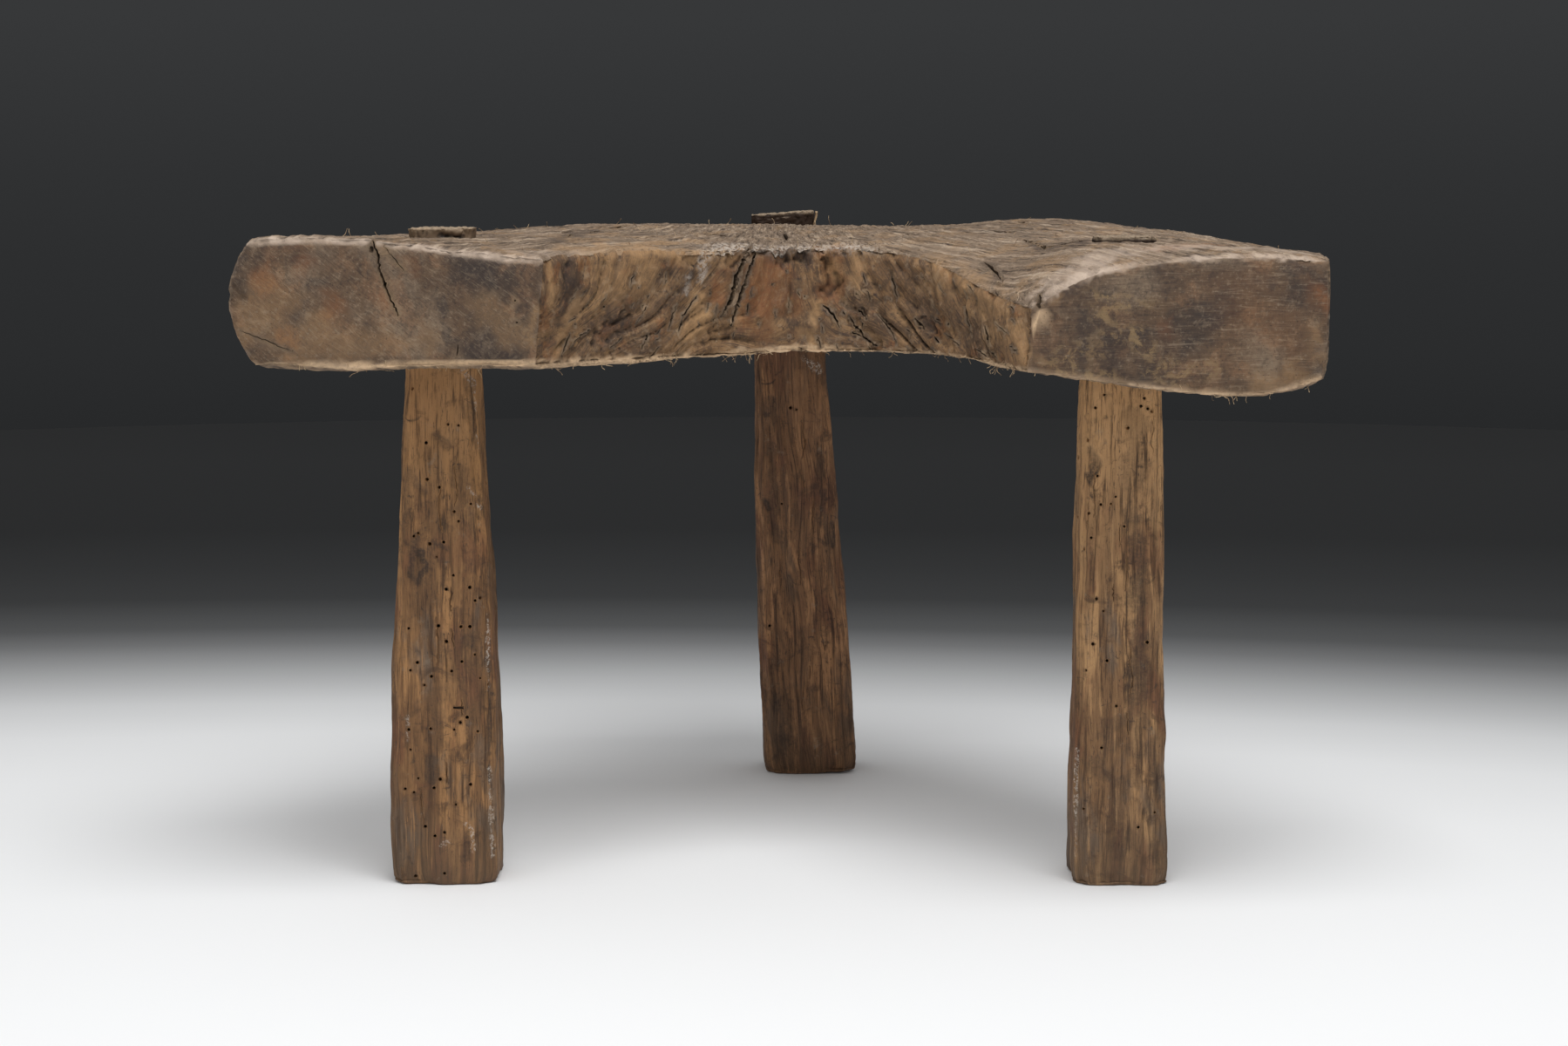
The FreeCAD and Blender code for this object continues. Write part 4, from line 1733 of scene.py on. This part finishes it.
@dataclass
class Studio:
    """Floor painted as a pale pool of light that darkens away from the stool, soft lamps and a dark room."""

    floor_radius: float = 3.05
    centre: Point = (-0.207, -0.55, 0.0)
    light_pool_squeeze: Point = (0.706, 1.0, 1.0)
    # Display greys of the floor by distance from the centre: a painted pool of light, pale near the stool and
    # dark far from it.
    light_pool_greys: tuple = ((0.0, 238), (0.16, 237), (0.3, 236), (0.467, 235), (0.584, 234), (0.717, 231),
                    (0.873, 223), (1.0, 206), (1.087, 183), (1.207, 147), (1.29, 117), (1.379, 88),
                    (1.565, 63), (1.777, 57), (2.1, 51), (2.9, 56))
    wall: tuple = ((-0.0846, 41), (-0.0618, 44), (-0.0334, 46), (-0.0051, 49), (0.023, 53), (0.0454, 56))
    sky: float = 0.52
    top_place: Point = (0.22, -0.9, 2.2)
    lamp_size: float = 1.2
    aim: Point = (0, 0, 0.25)
    top_power: float = 37.5
    side_place: Point = (-1.6, -2.0, 1.5)
    side_power: float = 5.0

    def build(self) -> None:
        """Makes floor, lamps and sky."""
        self.make_floor()
        self.make_sky()
        self.lamp("top", self.top_place, self.top_power)
        self.lamp("side", self.side_place, self.side_power)

    def lamp(self, name: str, place: Point, power: float) -> None:
        """Adds a square soft lamp that looks at the stool.

        Args:
            name: the lamp's name.
            place: where it hangs.
            power: its strength, in watts.
        """
        light = bpy.data.lights.new(name, "AREA")
        light.size = self.lamp_size
        light.energy = power
        obj = placed(name, light)
        obj.location = place
        obj.rotation_euler = (Vector(self.aim) - Vector(place)).to_track_quat("-Z", "Y").to_euler()

    def make_floor(self) -> None:
        """Adds the round floor, its colour a painted pool of light that darkens away from the stool."""
        shell = bmesh.new()
        bmesh.ops.create_circle(shell, cap_ends=True, segments=128, radius=self.floor_radius)
        mesh = bpy.data.meshes.new("floor")
        shell.to_mesh(mesh)
        shell.free()
        floor = placed("floor", mesh)
        p = Paint("floor")
        # Painted light: the floor's grey falls off with distance from the centre like a pool of light.
        off = p.first("ShaderNodeVectorMath", {0: p.place, 1: self.centre}, operation="SUBTRACT")
        drawn = p.first("ShaderNodeVectorMath", {0: off, 1: self.light_pool_squeeze}, operation="MULTIPLY")
        away = p.add("ShaderNodeVectorMath", {0: drawn}, operation="LENGTH").outputs["Value"]
        grey = self.ramp(p, away, self.light_pool_greys)
        shader = p.first("ShaderNodeBsdfPrincipled", {"Base Color": grey, "Roughness": 0.9,
                                                      "Specular IOR Level": 0.1})
        p.add("ShaderNodeOutputMaterial", {"Surface": shader})
        mesh.materials.append(p.material)

    def ramp(self, w: Wiring, value: Socket, stops: tuple) -> Socket:
        """Gives a grey that follows a value.

        Args:
            w: the tree in the making.
            value: the value.
            stops: pairs of value and display grey.

        Returns:
            The grey.
        """
        low, high = stops[0][0], stops[-1][0]
        share = w.add("ShaderNodeMapRange", {"Value": value, "From Min": low, "From Max": high})
        node = w.add("ShaderNodeValToRGB", {"Fac": share.outputs["Result"]})
        band = node.color_ramp
        while len(band.elements) < len(stops):
            band.elements.new(1.0)
        for element, (place, grey) in zip(band.elements, stops):
            element.position = (place - low) / (high - low)
            element.color = linear(grey - 1, grey, grey + 1)
        return node.outputs["Color"]

    def make_sky(self) -> None:
        """Lights the room evenly and shows it dark behind the stool."""
        world = bpy.data.worlds.new("room")
        world.use_nodes = True
        w = Wiring(world.node_tree)
        w.tree.nodes.clear()
        ray = w.add("ShaderNodeLightPath").outputs
        seen = w.first("ShaderNodeMath", {0: ray["Is Camera Ray"], 1: ray["Is Glossy Ray"]},
                       operation="MAXIMUM")
        seen = w.first("ShaderNodeMath", {0: seen, 1: ray["Is Transmission Ray"]}, operation="MAXIMUM")
        soft = w.first("ShaderNodeBackground", {"Color": (1, 1, 1, 1), "Strength": self.sky})
        aim = w.add("ShaderNodeTexCoord").outputs["Generated"]
        rise = w.add("ShaderNodeSeparateXYZ", {0: aim}).outputs[2]
        grey = self.ramp(w, rise, self.wall)
        dark = w.first("ShaderNodeBackground", {"Color": grey, "Strength": 1.0})
        mixed = w.first("ShaderNodeMixShader", {0: seen, 1: soft, 2: dark})
        w.add("ShaderNodeOutputWorld", {"Surface": mixed})
        bpy.context.scene.world = world


LEFT_HOLES: tuple[Pixel, ...] = (
    (473, 446), (514, 487), (526, 488), (489, 508), (490, 550), (504, 559), (558, 554), (540, 578),
    (521, 587), (526, 598), (480, 612), (475, 615), (493, 624), (509, 622), (501, 639), (520, 660),
    (512, 676), (539, 674), (545, 689), (551, 686), (469, 721), (503, 718), (529, 719), (539, 719),
    (512, 736), (545, 751), (479, 760), (471, 769), (495, 776), (487, 786), (518, 770), (530, 759),
    (551, 778), (560, 785), (529, 812), (536, 823), (528, 829), (521, 837), (469, 837), (494, 836),
    (548, 839), (471, 860), (480, 893), (505, 894), (465, 905), (475, 909), (498, 904), (540, 900),
    (523, 923), (488, 948), (499, 959), (510, 955), (510, 1002), (477, 1005))
RIGHT_HOLES: tuple[Pixel, ...] = (
    (1267, 453), (1257, 468), (1248, 505), (1313, 457), (1309, 466), (1317, 469), (1322, 472),
    (1294, 491), (1259, 546), (1280, 570), (1275, 578), (1263, 579), (1249, 589), (1236, 593),
    (1290, 604), (1252, 617), (1244, 630), (1258, 687), (1266, 701), (1254, 739), (1316, 737),
    (1270, 758), (1246, 769), (1281, 810), (1264, 858), (1243, 928), (1306, 949), (1325, 932))
REAR_HOLES: tuple[Pixel, ...] = ((907, 468), (914, 470), (897, 578), (883, 718))

SLAB_HOLES: tuple[Pixel, ...] = (
    (591, 345), (593, 370), (886, 326), (923, 340), (815, 337), (905, 386), (848, 352), (902, 311),
    (870, 372), (693, 352), (733, 330), (660, 372), (940, 366), (1010, 330), (1088, 372), (1120, 345),
    (757, 315))
SLAB_CRACKS: tuple[Crack, ...] = cracks((
    (1.7, 9, 427, 275, 434, 292, 435, 310, 442, 328, 447, 342, 453, 352, 458, 366),
    (0.6, 2, 440, 281, 452, 297, 467, 314), (0.7, 1.5, 276, 380, 305, 391, 336, 404),
    (0.7, 1.5, 526, 394, 524, 412), (3.4, 9, 863, 279, 855, 297, 846, 317, 840, 342, 826, 367),
    (2.4, 6, 867, 290, 856, 322, 846, 350, 838, 377), (0.9, 4, 858, 288, 848, 315, 843, 340),
    (1.0, 3, 800, 339, 784, 362, 778, 383), (1.2, 3, 776, 350, 766, 380), (1.2, 3, 744, 382, 735, 404),
    (1.4, 3, 677, 378, 661, 390, 651, 404), (1.3, 3, 654, 382, 647, 402, 642, 412),
    (1.5, 4, 822, 363, 825, 384, 819, 396), (1.8, 4, 943, 350, 950, 354, 958, 364, 964, 379),
    (1.6, 4, 973, 361, 984, 376, 992, 388, 1009, 399), (1.2, 3, 977, 381, 991, 388),
    (1.4, 3, 985, 355, 997, 368), (1.2, 3, 1022, 312, 1026, 327, 1030, 350),
    (2.4, 3, 1049, 365, 1063, 379), (1.3, 3, 1072, 386, 1080, 396),
    (1.3, 3, 1130, 373, 1135, 402, 1146, 413), (1.0, 2.5, 1108, 352, 1111, 372, 1116, 388),
    (1.0, 2.5, 1007, 361, 1020, 376, 1030, 396), (1.2, 3, 686, 259, 662, 268, 643, 276),
    (1.8, 4, 688, 264, 674, 268, 661, 277), (3.0, 8, 798, 261, 804, 264, 811, 267),
    (1.6, 6, 809, 268, 825, 270, 840, 273, 856, 281), (1.7, 5, 1136, 265, 1150, 266, 1167, 267),
    (3.0, 5, 1168, 255, 1173, 256, 1178, 254), (1.6, 4, 1174, 275, 1186, 279, 1199, 283),
    (2.4, 6, 1176, 276, 1196, 282, 1200, 285, 1218, 280, 1238, 277), (1.6, 5, 1238, 277, 1250, 273),
    (3.4, 6, 1193, 338, 1192, 346, 1192, 356), (1.8, 5, 1250, 276, 1275, 274, 1300, 272, 1326, 270),
    (1.6, 4, 645, 268, 660, 262, 674, 259), (1.4, 4, 648, 272, 664, 266, 680, 261),
    (1.4, 4, 700, 262, 712, 260, 722, 258), (1.2, 3, 560, 268, 580, 266),
    (3.0, 5, 900, 268, 905, 280, 903, 292), (2.2, 5, 958, 270, 953, 290, 949, 312),
    (1.6, 4, 968, 276, 962, 292, 958, 305), (1.4, 3, 1080, 258, 1100, 260),
    (1.2, 3, 1040, 268, 1062, 270, 1080, 276), (1.8, 4, 1130, 300, 1142, 312, 1150, 322)))
SLAB_STAINS: tuple[Stain, ...] = stains({
    Mark.WARM: (
        (9, 0.6, 300, 320), (8, 0.5, 345, 303), (8, 0.6, 328, 388), (9, 0.5, 385, 350), (7, 0.4, 440, 345),
        (9, 0.3, 480, 300), (6, 0.7, 1516, 335, 1524, 350), (9, 0.45, 1345, 378),
        (9, 0.25, 1460, 385, 1490, 395), (8, 0.3, 1440, 335), (12, 0.75, 885, 315, 868, 350),
        (6, 0.7, 835, 320, 820, 345), (10, 0.5, 960, 290, 955, 315), (8, 0.4, 858, 370, 880, 380),
        (9, 0.4, 1330, 286, 1400, 280, 1490, 286), (9, 0.6, 945, 290, 950, 330),
        (26, 0.15, 1430, 350, 1470, 380), (16, 0.5, 868, 300, 905, 345)),
    Mark.DARK: (
        (6, 0.7, 346, 292, 352, 300), (8, 0.5, 410, 400, 360, 408), (9, 0.5, 470, 385, 520, 408),
        (8, 0.7, 590, 402, 540, 408), (9, 0.4, 540, 318), (7, 0.4, 560, 305, 600, 310),
        (8, 0.7, 1205, 330, 1232, 335), (9, 0.6, 1196, 415, 1215, 402), (10, 0.6, 1290, 375, 1275, 410),
        (7, 0.7, 1322, 318, 1335, 312), (5, 0.8, 1408, 356, 1420, 357), (6, 0.5, 1380, 300, 1430, 302),
        (8, 0.35, 1330, 430, 1400, 436), (8, 0.95, 652, 312, 656, 345), (3.5, 0.6, 650, 350, 632, 395),
        (9, 0.65, 680, 380, 720, 358, 760, 345), (9, 0.6, 790, 312, 775, 345),
        (6, 0.6, 700, 395, 670, 402), (8, 0.75, 870, 285, 895, 300),
        (8, 0.6, 912, 322, 918, 350, 912, 380), (6, 0.7, 935, 335, 948, 325), (6, 0.6, 770, 310, 800, 300),
        (14, 0.3, 1000, 300, 1040, 330), (8, 0.5, 1045, 320, 1060, 345), (8, 0.6, 1090, 350, 1100, 385),
        (7, 0.4, 1010, 372, 1060, 385), (5, 0.9, 1058, 372, 1066, 380), (9, 0.75, 640, 275, 690, 262),
        (6, 0.5, 700, 270, 760, 266), (6, 0.4, 560, 272, 610, 268), (10, 0.35, 1090, 262, 1180, 270),
        (8, 0.3, 1000, 270, 1060, 275), (6, 0.9, 893, 288, 899, 304), (6, 0.8, 921, 292, 925, 300),
        (16, 0.35, 1240, 360, 1215, 385), (16, 0.4, 1300, 400, 1330, 415), (10, 0.35, 300, 298, 420, 296),
        (16, 0.35, 480, 330, 600, 330), (8, 0.6, 1200, 345, 1240, 330), (11, 0.85, 1268, 395, 1275, 430),
        (10, 0.5, 1290, 362, 1300, 350), (22, 0.4, 1225, 350, 1215, 400), (24, 0.35, 1260, 330, 1300, 400),
        (36, 0.38, 870, 330, 940, 390), (24, 0.2, 380, 300, 560, 330),
        (5, 1.0, 1180, 278, 1199, 284, 1238, 278), (5, 0.9, 1238, 278, 1256, 276)),
    Mark.PALE: (
        (4, 0.6, 606, 395, 614, 360), (6, 0.3, 560, 372, 590, 390), (7, 0.3, 290, 350, 330, 372),
        (9, 0.45, 1490, 430, 1450, 440), (6, 0.4, 1505, 380, 1515, 410), (3, 0.4, 1210, 344, 1216, 340),
        (4, 0.9, 633, 306, 633, 348), (5, 0.6, 662, 350, 640, 405), (10, 0.35, 700, 300, 700, 340),
        (9, 0.3, 740, 300, 745, 345), (8, 0.8, 806, 345, 800, 372, 790, 385), (5, 0.6, 895, 370),
        (4.5, 0.95, 935, 352, 932, 375), (5, 0.9, 928, 380, 938, 397), (5, 0.5, 1020, 375, 1035, 390),
        (12, 0.4, 1080, 310, 1140, 350), (7, 0.7, 1165, 380, 1175, 415), (5, 0.5, 1000, 385, 1010, 392),
        (6, 0.6, 980, 300, 985, 320), (9, 0.5, 690, 280, 800, 276), (14, 0.55, 650, 284, 760, 284),
        (9, 0.7, 775, 292, 850, 286), (3, 0.9, 957, 280, 956, 300, 959, 318), (2, 0.8, 948, 284, 950, 312),
        (3, 0.5, 842, 372, 850, 352), (16, 0.35, 300, 375, 420, 400), (12, 0.35, 560, 360, 600, 385),
        (10, 0.3, 300, 335, 330, 350), (10, 0.3, 460, 395, 500, 390)),
    Mark.LICHEN: (
        (7, 0.75, 1258, 343, 1274, 360), (4, 0.7, 1276, 350, 1286, 345), (5, 0.8, 1308, 392, 1314, 405),
        (6, 0.6, 1236, 400), (5, 0.55, 1225, 410, 1260, 425), (6, 0.5, 1330, 432),
        (4, 0.5, 1242, 435, 1270, 440), (5, 0.9, 1268, 362, 1282, 385), (5, 1.0, 1258, 345, 1290, 342),
        (8, 0.9, 1213, 418, 1250, 405), (7, 0.6, 1385, 425), (8, 1.0, 1225, 428, 1262, 438),
        (6, 1.0, 1306, 385, 1312, 402), (8, 0.8, 1320, 425, 1360, 432)),
    Mark.DUST: (
        (4, 0.8, 812, 297, 806, 322), (2.5, 0.6, 792, 318, 789, 338)),
    Mark.WORN: (
        (14, 0.55, 1203, 335, 1222, 320, 1262, 301),
        (15, 0.45, 1240, 298, 1300, 286, 1350, 283, 1480, 288), (9, 0.35, 600, 290, 660, 289)),
    Mark.FRAY: (
        (3.6, 1.0, 1189, 374, 1195, 363),),
    Mark.DENT: (
        (5, 2.5, 790, 296, 800, 302), (5, 3.0, 835, 292, 845, 300), (6, 3.5, 893, 290, 899, 300),
        (6, 3.0, 945, 300, 952, 325), (6, 3.0, 921, 296), (6, 1.6, 267, 338),
        (4, 2.5, 1058, 372, 1066, 380), (8, 2.5, 700, 385, 720, 370), (7, 2.5, 985, 370, 1005, 392),
        (8, 2.5, 830, 385))})
# On the left leg the pale streaks near the top are painted highlights and the dark streaks down its right
# side near the top are painted shade; the small dark spots are stains.
LEFT_STAINS_AND_PAINTED_LIGHT: tuple[Stain, ...] = stains({
    Mark.PALE: (
        (8, 0.6, 487, 430, 490, 480), (6, 0.5, 524, 440, 528, 480), (4, 0.6, 520, 600, 522, 690),
        (7, 0.7, 486, 440, 488, 500), (5, 0.4, 470, 900, 474, 720)),
    Mark.DARK: (
        (2.2, 0.8, 477, 615, 470, 660, 480, 670), (2.8, 0.95, 484, 632, 488, 655),
        (2.2, 0.9, 486, 655, 480, 665), (3, 0.6, 505, 600, 515, 606), (2.6, 0.8, 500, 625, 512, 630),
        (2.4, 0.5, 503, 575, 513, 568), (5, 0.6, 495, 870, 493, 900), (4, 0.6, 536, 735, 544, 745),
        (7, 0.35, 505, 800, 500, 850), (7, 0.35, 515, 735, 510, 760), (1.6, 0.8, 562, 760, 563, 900),
        (3, 0.6, 536, 955, 534, 985), (1.7, 1.0, 505, 270, 529, 272), (17, 0.3, 500, 600, 490, 690),
        (15, 0.3, 525, 740, 540, 800), (4, 0.45, 556, 440, 560, 560), (5, 0.3, 469, 540, 468, 620),
        (6, 0.5, 538, 440, 545, 505), (4, 0.45, 500, 500, 515, 512), (3, 0.5, 470, 545, 486, 565),
        (8, 0.35, 527, 545, 548, 640)),
    Mark.DUST: (
        (1.6, 0.9, 538, 560, 545, 568), (1.6, 1.0, 544, 581, 550, 582), (1.3, 0.7, 559, 700, 561, 790),
        (2.0, 0.7, 563, 880, 566, 980), (1.6, 0.8, 533, 945, 541, 950, 543, 975),
        (2, 0.6, 505, 970, 515, 965), (2.5, 0.5, 530, 425, 545, 440), (1.2, 0.6, 548, 500, 552, 515),
        (1.5, 0.6, 545, 450, 547, 470), (1.2, 0.5, 468, 820, 467, 850)),
    Mark.DENT: (
        (1.6, 1.4, 508, 270, 526, 272),)})
# On the right leg the long pale streaks down its left side are painted highlights and the long dark streaks
# down its right side are painted shade; the short dark spots are stains.
RIGHT_STAINS_AND_PAINTED_LIGHT: tuple[Stain, ...] = stains({
    Mark.PALE: (
        (9, 0.7, 1252, 452, 1250, 520), (9, 0.6, 1300, 452, 1296, 500), (5, 0.7, 1238, 600, 1236, 760),
        (5, 0.4, 1262, 620, 1262, 700), (6, 0.5, 1240, 460, 1236, 600), (6, 0.4, 1270, 460, 1275, 540)),
    Mark.DARK: (
        (3.5, 0.95, 1250, 515, 1258, 530, 1250, 552), (3, 0.9, 1246, 545, 1252, 556),
        (6, 0.6, 1304, 600, 1306, 700, 1303, 800), (5, 0.4, 1296, 540, 1298, 600),
        (7, 0.35, 1275, 830, 1262, 880), (5, 0.4, 1322, 850, 1326, 980), (6, 0.35, 1287, 900, 1283, 985),
        (7, 0.45, 1302, 480, 1304, 560), (6, 0.4, 1308, 700, 1304, 900)),
    Mark.DUST: (
        (1.8, 0.7, 1236, 860, 1232, 980),)})
REAR_STAINS: tuple[Stain, ...] = stains({
    Mark.DARK: (
        (4, 0.5, 884, 460, 890, 620), (3.5, 0.5, 940, 520, 948, 620), (2.5, 0.9, 878, 576, 882, 584),
        (2.5, 0.8, 955, 600, 957, 625), (8, 0.5, 900, 800, 905, 880)),
    Mark.PALE: (
        (6, 0.4, 915, 430, 925, 560),),
    Mark.DUST: (
        (3.0, 0.7, 922, 412, 940, 425),)})


def posts() -> list[Post]:
    """Describes the three legs.

    Returns:
        The left, the right and the rear leg.
    """
    # Each leg's gold colour and share set the painted light on its upper part.
    left = PostFinish("worm_eaten_post", head_side=linear(108, 88, 68))
    right = PostFinish("worm_eaten_post", base=linear(125, 93, 62), pale=linear(178, 138, 94),
                       painted_light_gold=linear(208, 162, 112), painted_light_share=0.9)
    dark = PostFinish("dark_post", base=linear(122, 87, 57), dark=linear(60, 41, 29),
                      stain=linear(44, 33, 26), pale=linear(162, 118, 79), foot=linear(82, 62, 45),
                      painted_light_gold=linear(124, 86, 55), painted_light_share=0.3, grey=linear(86, 68, 53), red=linear(98, 60, 40),
                      wave=1.2)
    return [
        Post("front_left_leg", "left_post", "worm_eaten_post", left, (-0.1917, -0.1266, 0.3755),
             (-0.1937, -0.1206, 0.0), 21, holes=LEFT_HOLES, stains=LEFT_STAINS_AND_PAINTED_LIGHT, strays=60,
             flare=0.04),
        Post("front_right_leg", "right_post", "worm_eaten_post", right, (0.1929, -0.1376, 0.371),
             (0.1954, -0.1246, 0.0), 31, holes=RIGHT_HOLES, stains=RIGHT_STAINS_AND_PAINTED_LIGHT, strays=40),
        Post("rear_leg", "rear_post", "dark_post", dark, (-0.0002, 0.1376, 0.381),
             (0.0198, 0.1946, 0.0), 41, holes=REAR_HOLES, stains=REAR_STAINS, strays=8, wave=2.0,
             raised=1.6, slope=3.6, flare=0.1),
    ]


def hand_over(obj: Piece, slot: str, *nodes: str) -> None:
    """Puts a finished piece on the stool's body and reports it.

    Args:
        obj: the piece.
        slot: a slot name, which is only written to the log.
        nodes: the CAD nodes that it replaces.
    """
    keep_inside(obj)
    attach(obj, "root")
    if nodes:
        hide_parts(*nodes)
    LOG.info("%s: %d faces, slot %s", obj.name, len(obj.data.polygons), slot)


def main() -> None:
    """Builds the room and the stool, piece by piece."""
    view = Viewpoint()
    view.build()
    Studio().build()
    borer = Borer()
    chisel = Chisel()
    slab = Slab()
    seat = slab.build(borer, chisel, view)
    hand_over(seat, slab.slot, slab.node)
    hand_over(Shedder().grow(seat, "seat_fibres"), slab.slot)
    for post in posts():
        hand_over(post.build(borer, chisel, view), post.slot, post.node)
    sliver = Sliver()
    hand_over(sliver.build(), sliver.slot, sliver.node)
    bpy.context.scene.view_settings.view_transform = "Standard"


if __name__ == "__main__":
    logging.basicConfig(level=logging.INFO, format="%(message)s")
    main()
